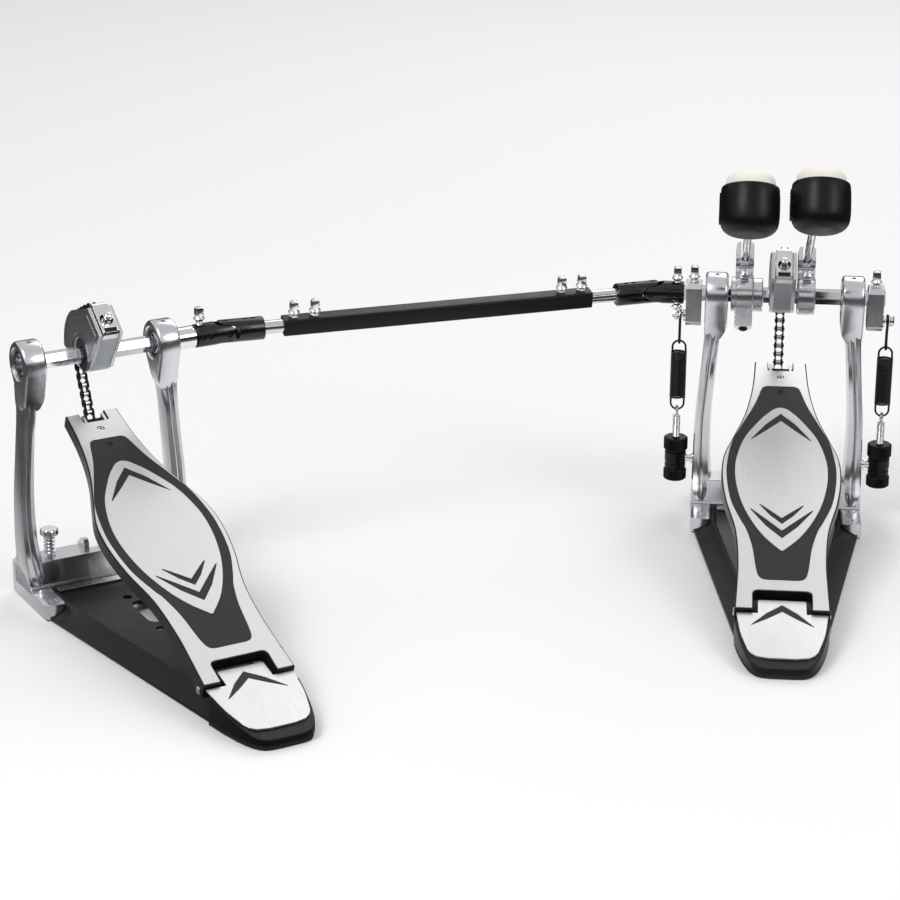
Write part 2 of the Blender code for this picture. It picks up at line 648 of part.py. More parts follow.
def build_pedal(pedal, frame):
    """The parts that both pedals share."""
    add(pedal + "_base_plate", base_plate(), "black_metal", frame)
    add(pedal + "_front_foot", front_foot(), "rubber", frame)
    add(pedal + "_heel_foot", prism(heel_outline(1.5), "z", 0, 3.0), "rubber", frame)
    add(pedal + "_heel_block", heel_block(), "black_plastic", frame)
    add(pedal + "_heel_plate", heel_plate(), "brushed", frame)
    add(pedal + "_hinge_pin", hinge_pin(), "steel", frame)
    add(pedal + "_stand", stand(), "cast", frame)
    add(pedal + "_bearing_left", ring(-53, -43, BORE_R - GAP, 6.5), "steel", frame)
    add(pedal + "_bearing_right", ring(43, 53, BORE_R - GAP, 6.5), "steel", frame)
    add(pedal + "_footboard", footboard(pedal), "black_metal", frame, (0, HINGE_PIN_Y, HINGE_PIN_Z))
    add(pedal + "_cam", cam(), "cast", frame, (0, 0, AXLE_Z))
    add(pedal + "_chain_clip", chain_clip(pedal), "chrome", frame, (0, 0, AXLE_Z))
    pivots, toe = chain_points(pedal)
    stops = pivots + [toe]
    names = ["chain_1", "chain_2", "chain_3", "chain_span"]
    for name, near, far in zip(names, stops, stops[1:]):
        add(pedal + "_" + name, chain_bar(near, far), "steel", frame, (CHAIN_X, *near))


def build_main_gear(frame):
    axle = (0, 0, AXLE_Z)
    add("main_axle", hex_bar(-15.8, 74.5), "steel", frame, axle)
    add("left_stub_yoke", left_stub_yoke(), "black_metal", frame, axle)
    for side, span, make_hub in (("left", LEFT_HUB, left_hub), ("right", RIGHT_HUB, right_hub)):
        lean = about_axle(LEAN[side])
        x = sum(span) / 2
        cup_x = x + CUP_SHIFT[side]
        add(side + "_hub", moved(make_hub(), lean), "cast", frame, axle)
        add(side + "_beater_shaft", moved(beater_shaft(x), lean), "chrome", frame, axle)
        add(side + "_beater_cup", moved(beater_cup(cup_x), lean), "black_plastic", frame, axle)
        add(side + "_beater_felt", moved(beater_felt(cup_x), lean), "felt", frame, axle)
    anchor = Vector((SPRING_X, 0, EYE_Z))
    for side, shaped, sign in (("left", lambda shape: shape, -1), ("right", mirrored, 1)):
        add(side + "_crank", shaped(crank()), "cast", frame, axle)
        add(side + "_spring_coil", shaped(spring_coil()), "black_metal", frame, (sign * anchor.x, 0, EYE_Z))
        add(side + "_spring_hook", shaped(spring_hook()), "black_metal", frame, (sign * anchor.x, 0, COIL_HIGH))
        add(side + "_spring_adjuster", shaped(spring_adjuster()), "black_plastic", frame)
    add("hoop_jaw", hoop_jaw(), "black_metal", frame, (0, 4, 27))
    add("hoop_screw", hoop_screw(), "steel", frame, (0, -8, BEAM_TOP))


def build_slave_gear(frame):
    collar = rod((59.4, 0, AXLE_Z), (JOINT_X - 25.2, 0, AXLE_Z), 8.0)
    add("slave_axle", union(hex_bar(-52, JOINT_X - 25.4), collar), "steel", frame, (0, 0, AXLE_Z))
    add("slave_yoke", slave_yoke(), "black_metal", frame, (0, 0, AXLE_Z))
    add("anchor_screw", anchor_screw(), "steel", frame, (-42, -2, BEAM_TOP))


def build_drive(main_frame, slave_frame):
    """The drive shaft lies between the two universal joints."""
    bpy.context.view_layer.update()
    near = slave_frame.matrix_world @ (Vector((JOINT_X, 0, AXLE_Z)) * MM)
    far = main_frame.matrix_world @ (Vector((-JOINT_X, 0, AXLE_Z)) * MM)
    span = far - near
    frame = empty("shaft_frame", near / MM, math.degrees(math.atan2(span.y, span.x)))
    length = span.length / MM
    add("shaft_rod_slave", shaft_rod(1), "steel", frame)
    far_rod = moved(shaft_rod(-1), Matrix.Translation((length, 0, 0)))
    add("shaft_rod_main", far_rod, "steel", frame)
    add("shaft_tube", shaft_tube(), "black_metal", frame)
    slave_cross = moved(cross(), Matrix.Translation((JOINT_X, 0, AXLE_Z)))
    add("cross_slave", slave_cross, "steel", slave_frame, (JOINT_X, 0, AXLE_Z))
    main_cross = moved(cross(), Matrix.Translation((-JOINT_X, 0, AXLE_Z)))
    add("cross_main", main_cross, "steel", main_frame, (-JOINT_X, 0, AXLE_Z))


def main():
    for old in list(bpy.data.objects):
        bpy.data.objects.remove(old, do_unlink=True)
    main_frame = empty("main_frame", (0, 0, 0), 0)
    slave_frame = empty("slave_frame", (SLAVE_X, SLAVE_Y, 0), SLAVE_TURN)
    build_pedal("main", main_frame)
    build_pedal("slave", slave_frame)
    build_main_gear(main_frame)
    build_slave_gear(slave_frame)
    build_drive(main_frame, slave_frame)


main()
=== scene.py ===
"""The visual model of the twin bass drum pedal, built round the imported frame.

Lengths are in millimetres in each pedal's own frame: X across, Y from heel to drum, Z up, from the floor
under the middle of the axle. The drive shaft has a frame of its own, with X along the shaft.
"""
import json
import math

import bmesh
import bpy
from mathutils import Matrix, Vector


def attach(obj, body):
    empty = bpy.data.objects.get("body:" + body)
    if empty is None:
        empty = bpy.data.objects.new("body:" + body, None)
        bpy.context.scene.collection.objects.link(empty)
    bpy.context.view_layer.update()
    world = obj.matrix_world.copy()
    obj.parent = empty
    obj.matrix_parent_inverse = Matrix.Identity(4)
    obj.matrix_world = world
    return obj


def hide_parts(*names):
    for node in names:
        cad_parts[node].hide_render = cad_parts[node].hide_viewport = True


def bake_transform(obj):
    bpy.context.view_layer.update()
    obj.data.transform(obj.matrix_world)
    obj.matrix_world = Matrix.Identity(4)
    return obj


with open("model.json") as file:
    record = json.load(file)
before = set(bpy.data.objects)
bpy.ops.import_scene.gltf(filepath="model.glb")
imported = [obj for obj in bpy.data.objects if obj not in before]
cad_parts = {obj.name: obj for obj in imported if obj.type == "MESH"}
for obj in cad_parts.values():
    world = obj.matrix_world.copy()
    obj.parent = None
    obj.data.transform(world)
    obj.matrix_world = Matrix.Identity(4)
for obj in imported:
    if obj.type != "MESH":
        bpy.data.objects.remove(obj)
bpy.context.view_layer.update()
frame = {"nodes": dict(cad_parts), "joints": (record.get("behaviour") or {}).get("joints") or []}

MM = 0.001
shift = Matrix.Translation
JOINTS = {joint["name"]: joint for joint in frame["joints"]}
X, Y, Z = Vector((1, 0, 0)), Vector((0, 1, 0)), Vector((0, 0, 1))


def joint_frame(name, on_floor=True):
    """A frame at a joint with X along its axis and Z up, scaled to millimetres."""
    joint = JOINTS[name]
    across = Vector(joint["axis"]).normalized()
    turn = Matrix((across, Z.cross(across), Z)).transposed().to_4x4()
    place = Vector(joint["pos_m"])
    if on_floor:
        place.z = 0
    return shift(place) @ turn @ Matrix.Scale(MM, 4)


PLACES = {"main": joint_frame("main_rocker_turn"), "slave": joint_frame("slave_rocker_turn")}
SHAFT_PLACE = joint_frame("drive_shaft_turn", on_floor=False)
MAIN = PLACES["main"]
SIDES = ("left", "right")

# Stand
AXLE = JOINTS["main_rocker_turn"]["pos_m"][2] / MM
HOUSING_OUT, HOUSING_IN, HOUSING_R, BORE_R = 58.8, 42.0, 16.3, 11.3
CHEEK_X = 63.8
BEAM_TOP = 29.5
PLATE_TOP = 9.0
PLATE_FRONT_Y, PLATE_HEEL_Y, HEEL_Y = 18.0, -249.4, -302.0
FRONT_HALF, HEEL_HALF = 60.8, 30.3

# Footboard, along its top face from its rear edge
BOARD_REAR_Y, BOARD_REAR_Z = -244.2, 26.1
BOARD_ANGLE = {"main": 19.0, "slave": 21.1}
BOARD_LENGTH, BOARD_DEPTH = 277.0, 9.5
BOARD_HALF_WIDTHS = [(0, 32.6), (25, 31.6), (50, 31.1), (82, 33.2), (113, 40.0), (140, 43.0), (163, 41.7),
    (184, 35.5), (206, 28.4), (227, 23.7), (250, 20.7), (277, 19.3)]
INLAY_HALF_WIDTHS = [(29.5, 10.6), (30.4, 14.0), (33.0, 16.2), (37.0, 17.4), (45, 18.6), (64, 20.8),
    (82, 25), (93, 29.4), (113, 36), (137, 39.1), (156, 39.0), (180, 35.4), (201, 28.0), (223, 19.6),
    (241.5, 14.6), (245.4, 12.8), (247, 10)]
MEDAL_HALF_WIDTHS = [(60.4, 0.6), (73.7, 11.6), (90.6, 20.9), (111, 28.3), (131.4, 32.3), (148, 33.3),
    (160.3, 32.4), (174.7, 29.5), (185.6, 26.0), (192.7, 22.7), (199.7, 18.8), (208.3, 13.7), (214.5, 9.0),
    (219.2, 4.7), (221.1, 0.6)]
PIN_Y, PIN_Z = -236.0, 19.5
HEEL_SLOPE = math.tan(math.radians(13.3))

# Moving gear
HEX_FLATS = 10.5
CHAIN_X, LINK_PITCH = -1.8, 6.35
CAM_LEFT, CAM_RIGHT = -11.2, 6.8
LEAN = {"left": 60.0, "right": 58.2}
CUP_SHIFT = {"left": -0.8, "right": 2.4}
SHAFT_OFFSET, CUP_REACH = 27.0, 140.0
LEFT_HUB, RIGHT_HUB = (-36.8, -23.4), (9.3, 22.3)
SPRING_X, STUD_Z = 77.0, AXLE - 17.0
EYE_Z = JOINTS["left_spring_swing"]["pos_m"][2] / MM
COIL_LOW, COIL_HIGH, COIL_R, WIRE_R = 90.6, 129.0, 5.35, 0.78
JOINT_X = 99.5
TUBE_START, TUBE_END, TUBE_SIZE, TUBE_ROLL = 42.8, 279.0, 12.4, 8.0


# Stage, in metres
FLOOR_REACH = 6.0
LIT_POINT = Vector((-0.2, -0.1, 0.1))


# ---------------------------------------------------------------- shapes

def circle(cu, cv, radius, count=32):
    return [(cu + radius * math.cos(math.tau * i / count), cv + radius * math.sin(math.tau * i / count))
        for i in range(count)]


def arc(cu, cv, radius, first, last, count):
    step = (last - first) / (count - 1)
    return [(cu + radius * math.cos(math.radians(first + step * i)),
        cv + radius * math.sin(math.radians(first + step * i))) for i in range(count)]


def rounded_box(cu, cv, half_u, half_v, radius, count=4):
    points = []
    for quarter, (su, sv) in enumerate([(1, 1), (-1, 1), (-1, -1), (1, -1)]):
        points += arc(cu + su * (half_u - radius), cv + sv * (half_v - radius), radius, quarter * 90,
            quarter * 90 + 90, count)
    return points


def smooth(points, steps=4):
    """A Catmull-Rom curve through the points."""
    ends = [points[0]] + list(points) + [points[-1]]
    curve = []
    for i in range(1, len(ends) - 2):
        p0, p1, p2, p3 = [Vector(p) for p in ends[i - 1:i + 3]]
        for k in range(steps):
            t = k / steps
            bend = 2 * p0 - 5 * p1 + 4 * p2 - p3
            twist = 3 * p1 - p0 - 3 * p2 + p3
            curve.append(tuple(0.5 * (2 * p1 + (p2 - p0) * t + bend * t ** 2 + twist * t ** 3)))
    curve.append(tuple(points[-1]))
    return curve


def both_sides(side):
    """A closed outline from the right-hand side's (along, half width) points."""
    return [(w, a) for a, w in side] + [(-w, a) for a, w in reversed(side)]


def loft(rings, capped=True):
    """Skin a row of rings, closed by two end faces or, uncapped, joined round to the first ring."""
    bm = bmesh.new()
    made = [[bm.verts.new(point) for point in ring] for ring in rings]
    for near, far in zip(made, made[1:] if capped else made[1:] + made[:1]):
        for i in range(len(near)):
            j = (i + 1) % len(near)
            bm.faces.new((near[i], near[j], far[j], far[i]))
    for end in (made[0], made[-1]) if capped else ():
        bm.faces.new(end)
    bmesh.ops.recalc_face_normals(bm, faces=bm.faces)
    return bm


def prism(outline, axis, low, high):
    """Extrude an outline along an axis. Outlines are (y, z) for x, (x, z) for y and (x, y) for z."""
    place = {"x": lambda u, v, w: (w, u, v), "y": lambda u, v, w: (u, w, v), "z": lambda u, v,
        w: (u, v, w)}[axis]
    return loft([[place(u, v, w) for u, v in outline] for w in (low, high)])


def box(x, y, z):
    return prism([(x[0], y[0]), (x[1], y[0]), (x[1], y[1]), (x[0], y[1])], "z", z[0], z[1])


def turned(profile, start, way, count=32, hollow=False):
    """Turn (distance, radius) points about a line that runs from start along way."""
    start = Vector(start)
    turn = way.to_track_quat("Z", "X").to_matrix()
    rings = [[start + turn @ Vector((u, v, along)) for u, v in circle(0, 0, radius, count)]
        for along, radius in profile]
    return loft(rings, capped=not hollow)


def rod(start, end, radius, count=24):
    way = Vector(end) - Vector(start)
    return turned([(0, radius), (way.length, radius)], start, way, count)


def ring(low, high, outer, inner, chamfer=0.4):
    """A ring on the axle line with chamfered rims."""
    profile = [(0, inner), (0, outer - chamfer), (chamfer, outer), (high - low - chamfer, outer),
        (high - low, outer - chamfer), (high - low, inner)]
    return turned(profile, (low, 0, AXLE), X, 40, hollow=True)


def tube(points, radius, sides=8, closed=False):
    """A round wire along a line of points."""
    points = [Vector(p) for p in points]
    count = len(points)
    rings = []
    normal = None
    for i, point in enumerate(points):
        before = points[(i - 1) % count] if closed or i else point
        after = points[(i + 1) % count] if closed or i < count - 1 else point
        along = (after - before).normalized()
        normal = along.orthogonal() if normal is None else normal - along * normal.dot(along)
        normal.normalize()
        other = along.cross(normal)
        rings.append([point + radius * (normal * u + other * v) for u, v in circle(0, 0, 1, sides)])
    return loft(rings, capped=not closed)


def helix(x, y, low, rise, radius, turns, steps=16):
    """Points along a coil that climbs from low by rise."""
    return [(x + radius * math.cos(math.tau * k / steps), y + radius * math.sin(math.tau * k / steps),
        low + rise * k / (turns * steps)) for k in range(turns * steps + 1)]


def moved(bm, matrix):
    bmesh.ops.transform(bm, matrix=matrix, verts=bm.verts)
    return bm


def mirrored(bm):
    moved(bm, Matrix.Scale(-1, 4, X))
    bmesh.ops.reverse_faces(bm, faces=bm.faces)
    return bm


def handed(side, shape):
    """A shape drawn for the left side, mirrored if it is for the right."""
    return shape if side == "left" else mirrored(shape)


def join(*shapes):
    """Several shapes as one mesh, without a boolean."""
    first = shapes[0]
    for other in shapes[1:]:
        spare = bpy.data.meshes.new("spare")
        other.to_mesh(spare)
        other.free()
        first.from_mesh(spare)
        bpy.data.meshes.remove(spare)
    return first


def about_axle(degrees):
    centre = Vector((0, 0, AXLE))
    return shift(centre) @ Matrix.Rotation(math.radians(degrees), 4, "X") @ shift(-centre)


def new_object(name, data):
    made = bpy.data.objects.new(name, data)
    bpy.context.scene.collection.objects.link(made)
    return made


def combine(operation, first, others):
    body = new_object("work", bpy.data.meshes.new("work"))
    first.to_mesh(body.data)
    for other in others:
        tool = new_object("tool", bpy.data.meshes.new("tool"))
        other.to_mesh(tool.data)
        step = body.modifiers.new("step", "BOOLEAN")
        step.operation, step.solver, step.object = operation, "EXACT", tool
        bpy.context.view_layer.update()
        result = bpy.data.meshes.new_from_object(body.evaluated_get(bpy.context.evaluated_depsgraph_get()))
        body.modifiers.clear()
        body.data = result
        bpy.data.objects.remove(tool, do_unlink=True)
    bm = bmesh.new()
    bm.from_mesh(body.data)
    bpy.data.objects.remove(body, do_unlink=True)
    bmesh.ops.remove_doubles(bm, verts=bm.verts, dist=0.002)
    return bm


def union(first, *others):
    return combine("UNION", first, others)


def cut(first, *others):
    return combine("DIFFERENCE", first, others)


# ---------------------------------------------------------------- materials

def add_node(tree, kind, **sockets):
    """A shader node with constants or other nodes' outputs on its inputs; _ stands for a space."""
    node = tree.nodes.new("ShaderNode" + kind)
    for name, value in sockets.items():
        socket = node.inputs[name.replace("_", " ")]
        if isinstance(value, bpy.types.NodeSocket):
            tree.links.new(value, socket)
        else:
            socket.default_value = value
    return node


def surface(name, colour, metallic=0.0, roughness=0.4, spread=0.08, grain=0.004, bump=0.0, turn=(0, 0, 0),
        tint=0.06, fine=0.0006, fine_bump=0.0, **sockets):
    """A Principled material with cloudy roughness, a slight colour drift and two sizes of bump.

    grain and fine are the sizes of the two noises in metres, one or three; turn sets their direction.
    """
    made = bpy.data.materials.new(name)
    made.use_nodes = True
    tree, links = made.node_tree, made.node_tree.links
    shader = tree.nodes["Principled BSDF"].inputs
    shader["Metallic"].default_value = metallic
    for socket, value in sockets.items():
        shader[socket.replace("_", " ")].default_value = value
    where = add_node(tree, "TexCoord").outputs["Object"]

    def noise(size, detail):
        size = size if isinstance(size, tuple) else (size, size, size)
        mapping = add_node(tree, "Mapping", Vector=where, Rotation=turn, Scale=size)
        mapping.vector_type = "TEXTURE"
        texture = add_node(tree, "TexNoise", Vector=mapping.outputs["Vector"], Scale=1.0, Detail=detail)
        return texture.outputs["Fac"]

    broad, small = noise(grain, 4.0), noise(fine, 2.0)
    rough = add_node(tree, "MapRange", Value=broad, From_Min=0.3, From_Max=0.7,
        To_Min=max(roughness - spread, 0.02), To_Max=min(roughness + spread, 1.0))
    links.new(rough.outputs["Result"], shader["Roughness"])
    drift = add_node(tree, "Mix")
    drift.data_type = "RGBA"
    drift.inputs["A"].default_value = (*[c * (1 - tint) for c in colour], 1)
    drift.inputs["B"].default_value = (*[min(c * (1 + tint), 1) for c in colour], 1)
    links.new(small if fine_bump else broad, drift.inputs["Factor"])
    links.new(drift.outputs["Result"], shader["Base Color"])
    last = {}
    for height, strength, depth in ((broad, bump, 0.0004), (small, fine_bump, 0.0001)):
        if strength:
            node = add_node(tree, "Bump", Strength=strength, Distance=depth, Height=height, **last)
            last = {"Normal": node.outputs["Normal"]}
    if last:
        links.new(last["Normal"], shader["Normal"])
    return made


def board_matrix(pedal):
    """From board coordinates (across, along, up from the top face) to the pedal's frame."""
    return shift((0, BOARD_REAR_Y, BOARD_REAR_Z)) @ Matrix.Rotation(math.radians(BOARD_ANGLE[pedal]), 4,
        "X")


def brushed(pedal):
    """Aluminium with fine brush lines along one pedal's footboard."""
    turn = (PLACES[pedal] @ board_matrix(pedal)).to_euler()
    return surface(f"brushed_{pedal}", (0.72, 0.72, 0.73), 1.0, 0.42, 0.05, grain=(0.0006, 0.05, 0.003),
        turn=turn, tint=0.1, fine=(0.00025, 0.03, 0.001), fine_bump=0.1)


CAST = surface("cast_aluminium", (0.72, 0.735, 0.76), 1.0, 0.25, 0.04, grain=(0.01, 0.01, 0.02), tint=0.04)
SATIN = surface("satin_cast", (0.56, 0.58, 0.61), 1.0, 0.38, 0.05, bump=0.01, fine=0.0004, fine_bump=0.05)
CHROME = surface("chrome", (0.86, 0.86, 0.87), 1.0, 0.07, 0.04, grain=0.005, tint=0.02)
STEEL = surface("steel", (0.66, 0.67, 0.69), 1.0, 0.24, 0.08, grain=0.002, tint=0.08)
HEX_STEEL = surface("hex_steel", (0.74, 0.74, 0.76), 1.0, 0.12, 0.05, grain=(0.012, 0.002, 0.002),
    bump=0.03)
BRUSHED = {pedal: brushed(pedal) for pedal in PLACES}
INLAY = surface("inlay_charcoal", (0.017, 0.017, 0.018), 0.0, 0.5, 0.04, grain=0.002, fine=0.0003,
    fine_bump=0.1, tint=0.12, Specular_IOR_Level=0.3)
PAINT = surface("black_paint", (0.009, 0.009, 0.010), 0.0, 0.33, 0.04, grain=0.012, bump=0.004,
    fine=0.0009, fine_bump=0.03, tint=0.15, Specular_IOR_Level=0.22)
OXIDE = surface("black_oxide", (0.02, 0.02, 0.021), 0.75, 0.32, 0.08, grain=0.002, tint=0.3)
NICKEL = surface("black_nickel", (0.055, 0.055, 0.06), 1.0, 0.24, 0.05, tint=0.1)
PLASTIC = surface("black_plastic", (0.004, 0.004, 0.005), 0.0, 0.36, 0.04, fine_bump=0.1, tint=0.15,
    Specular_IOR_Level=0.22)
RUBBER = surface("rubber", (0.02, 0.02, 0.02), 0.0, 0.75, 0.08, grain=0.003, bump=0.05, fine=0.0005,
    fine_bump=0.2, tint=0.25)
FELT = surface("felt", (0.92, 0.88, 0.79), 0.0, 0.95, 0.04, grain=0.0022, bump=0.5, fine=0.0005,
    fine_bump=0.9, tint=0.07, Sheen_Weight=0.5)


# ---------------------------------------------------------------- pieces

def piece(name, shape, finish, body, place, bevel=0.0, stands_for=(), slot=None, sharp=35, segments=2):
    """Make one visible object in a frame and let it ride on a body, if one is named."""
    bmesh.ops.recalc_face_normals(shape, faces=shape.faces)
    moved(shape, place)
    mesh = bpy.data.meshes.new(name)
    shape.to_mesh(mesh)
    shape.free()
    mesh.shade_smooth()
    made = new_object(name, mesh)
    mesh.materials.append(finish)
    if bevel:
        edge = made.modifiers.new("edges", "BEVEL")
        edge.width, edge.segments = bevel * MM, segments
        edge.limit_method, edge.angle_limit = "ANGLE", math.radians(sharp)
        edge.use_clamp_overlap = edge.harden_normals = True
    else:
        mesh.set_sharp_from_angle(angle=math.radians(sharp))
    if body:
        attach(made, body)
    if stands_for:
        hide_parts(*([stands_for] if isinstance(stands_for, str) else stands_for))
    return made


def adder(prefix, body, place):
    """A short form of piece, for pieces that share the start of their name, a body and a frame."""
    def add(name, shape, finish, *more, **options):
        return piece(f"{prefix}_{name}", shape, finish, body, place, *more, **options)
    return add


def key_bolt(start, direction, shank=2.0, size=1.0):
    """Drum-key bolt: a threaded shank, a double-coned flange and a domed square head."""
    start, direction = Vector(start), Vector(direction).normalized()
    threads = [(k * 0.45, 2.5 * size if k % 2 else 2.15 * size) for k in range(int(shank / 0.45) + 1)]
    flange = [(0, 2.6), (0.5, 3.3), (1.5, 4.2), (1.9, 4.2), (3.4, 3.0), (4.4, 2.5)]
    stem = turned(threads + [(shank + along * size, radius * size) for along, radius in flange], start,
        direction, 28)
    levels = [(3.6, 2.2), (4.1, 2.75), (4.6, 2.9), (8.6, 2.85), (9.6, 2.6), (10.1, 2.1), (10.4, 1.2)]
    head = loft([[(u, v, shank + w * size) for u, v in rounded_box(0, 0, half * size, half * size,
        0.9 * size, 3)] for w, half in levels])
    moved(head, shift(start) @ direction.to_track_quat("Z", "X").to_matrix().to_4x4())
    return join(stem, head)


def socket_screw(x, y, z, radius=2.6):
    """Countersunk screw seen from above, with a cross slot."""
    head = turned([(0, radius), (0.5, radius), (0.9, radius * 0.8)], (x, y, z), Z, 20)
    slots = [box((x - a, x + a), (y - b, y + b), (z + 0.35, z + 2)) for a, b in ((radius * 0.6, 0.35),
        (0.35, radius * 0.6))]
    return cut(head, *slots)


# ---------------------------------------------------------------- base, heel and stand

def plate_half(y):
    if y > -50:
        return FRONT_HALF
    return FRONT_HALF + (HEEL_HALF - FRONT_HALF) * (-50 - y) / (-50 - PLATE_HEEL_Y)


def plate_section(y, rib):
    half = plate_half(y)
    side = [(half, 1.0), (half, 3.0), (half - 12, PLATE_TOP), (half - 13.2, PLATE_TOP + rib * 0.7),
        (half - 14.2, PLATE_TOP + rib), (half - 15.2, PLATE_TOP + rib * 0.7), (half - 16.4, PLATE_TOP)]
    under = [(-half + 2, 1.0), (-half + 13.5, PLATE_TOP - 2), (half - 13.5, PLATE_TOP - 2), (half - 2, 1.0)]
    return [(x, y, z) for x, z in side + [(-x, z) for x, z in reversed(side)] + under]


def base_plate():
    body = loft([plate_section(y, rib) for y, rib in [(PLATE_FRONT_Y, 0.01), (-20, 0.01), (-26, 2),
        (-50, 2), (-150, 2), (PLATE_HEEL_Y, 2)]])
    slot = rounded_box(0, -82.5, 8, 20.5, 7.9, 8)
    return cut(body, prism(slot, "z", 0, 20), rod((-5, -53, 0), (-5, -53, 20), 3.4),
        rod((-6, -113, 0), (-6, -113, 20), 2.8))


def heel_outline(inset=0.0, front=PLATE_HEEL_Y - 0.3):
    side = smooth([(32.5, front), (30.8, -262), (27.0, -280), (22.5, -293), (17.0, -300.2), (9.0, HEEL_Y)],
        3)
    side = [(max(x - inset, 1), y if y == front else y + inset) for x, y in side]
    return side + [(-x, y) for x, y in reversed(side)]


def heel_plane(y):
    return 21.6 + (y - BOARD_REAR_Y) * HEEL_SLOPE


def heel_block():
    body = prism(heel_outline(), "z", 3.3, 40)
    bmesh.ops.bisect_plane(body, geom=body.verts[:] + body.edges[:] + body.faces[:], dist=1e-5,
        plane_co=(0, BOARD_REAR_Y, heel_plane(BOARD_REAR_Y) - 0.3), plane_no=(0, -HEEL_SLOPE, 1),
        clear_outer=True)
    bmesh.ops.holes_fill(body, edges=[edge for edge in body.edges if edge.is_boundary], sides=0)
    return body


def ribbed_foot():
    """Rubber heel foot with upright ribs round its edge."""
    outline = heel_outline(0.6)
    rim = []
    for near, far in zip(outline, outline[1:]):
        near, far = Vector(near), Vector(far)
        steps = max(1, round((far - near).length / 1.1))
        out = Vector((far.y - near.y, near.x - far.x)).normalized()
        for k in range(steps):
            rim.append(near.lerp(far, k / steps) + out * (0.7 if len(rim) % 2 else 0.0))
    rim.append(Vector(outline[-1]))
    return prism([tuple(point) for point in rim], "z", 0, 3.2)


def heel_plate_outline():
    side = smooth([(31.0, -245.5), (28.4, -266.0), (23.6, -284.0)], 5) + [(21.5, -287.5), (17.3, -290.7),
        (9.0, -292.2)]
    side = [(15.4, -229.8), (16.6, -230.9), (16.6, -244.4), (31.0, -244.4)] + side
    return side + [(-x, y) for x, y in reversed(side)]


def on_heel(flat):
    for vert in flat.verts:
        vert.co.z += heel_plane(vert.co.y)
    return flat


def chevron(tip, ends, half_width, thick_tip, thick_end=0.8):
    """Outline of a V: its tip, the along place of its ends, their half width and its thickness."""
    bend = tip + (ends - tip) * 0.42
    right = [(half_width * 0.5, bend), (half_width, ends), (half_width - thick_end, ends),
        (half_width * 0.47, bend - thick_tip * 0.8)]
    return [(0, tip)] + right + [(0, tip - thick_tip)] + [(-u, v) for u, v in reversed(right)]


def post_ring(z, cx, half_x, cy, half_y, groove):
    """One level of a post: a flat outer side, a rounded back and a groove and ridge down the front."""
    deep, edge = -1 + 2.0 / half_y, -1 + 0.9 / half_y
    shape = [(-1.0, -0.72), (-0.86, -0.93), (groove - 0.32, -1.0), (groove - 0.14, edge), (groove, deep),
        (groove + 0.16, edge), (groove + 0.3, -0.92), (0.72, -0.66), (0.93, -0.3), (1.0, 0.2), (0.9, 0.75),
        (0.66, 0.95), (0.2, 1.0), (-0.5, 1.0), (-0.86, 0.95), (-1.0, 0.78)]
    return [(cx + u * half_x, cy + v * half_y, z) for u, v in shape]


def post():
    levels = [(15.0, -56.0, 2.2, -5, 14.8, -0.1), (16.2, -56.0, 4.6, -5, 14.8, -0.1),
        (18.6, -56.1, 6.5, -4.8, 14.5, -0.1), (22.5, -56.1, 7.5, -4.2, 13.8, -0.1),
        (28, -56.3, 7.6, -2.6, 12.4, -0.1), (36, -56.8, 7.1, -0.4, 10.8, -0.1),
        (50, -57.2, 6.6, 1, 9.5, -0.12), (78, -56.9, 6.0, 1.5, 8.7, -0.15),
        (108, -54.9, 5.6, 1.5, 8.3, -0.1), (136, -52.8, 5.7, 0.5, 8.6, 0.0), (147, -51.6, 6.9, 1, 9, 0.0),
        (158, -50.4, 8.1, 1, 9.4, 0.0)]
    return loft([post_ring(*level) for level in smooth(levels, 6)])


def housing():
    outline = arc(0, AXLE, HOUSING_R, -22, 202, 40) + [(-9.6, 152)] + arc(-3.2, 143.6, 4.0, 200, 330,
        7) + [(4, 150)]
    half = [(0, 2.5), (0, 2.0), (0.5, 1.0), (1.3, 0.3), (2.4, 0.0)]
    rings = [(-HOUSING_OUT + along, 1 - inset / HOUSING_R) for along, inset in half]
    rings += [(-HOUSING_IN - along, 1 - inset / HOUSING_R) for along, inset in reversed(half)]
    shell = loft([[(x, y * size, AXLE + (z - AXLE) * size) for y, z in outline] for x, size in rings])
    corner = [(-41, 158), (-42.0, 155.5), (-42.4, 151), (-43.4, 147), (-45.2, 143.4), (-47.4, 140),
        (-48.4, 136), (-48.4, 130), (-41, 130)]
    shell = cut(shell, bore(BORE_R, 40, 80), prism(corner, "y", -30, 30))
    flares = [turned([(0, BORE_R + 1.0), (1.0, BORE_R), (1.2, BORE_R - 1)], (x, 0, AXLE), way, 40)
        for x, way in ((-HOUSING_OUT - 0.01, X), (-HOUSING_IN + 0.01, -X))]
    return cut(shell, *flares, rod((-50.4, -3.0, AXLE + 14), (-50.4, -3.0, AXLE + 20), 1.7, 20))


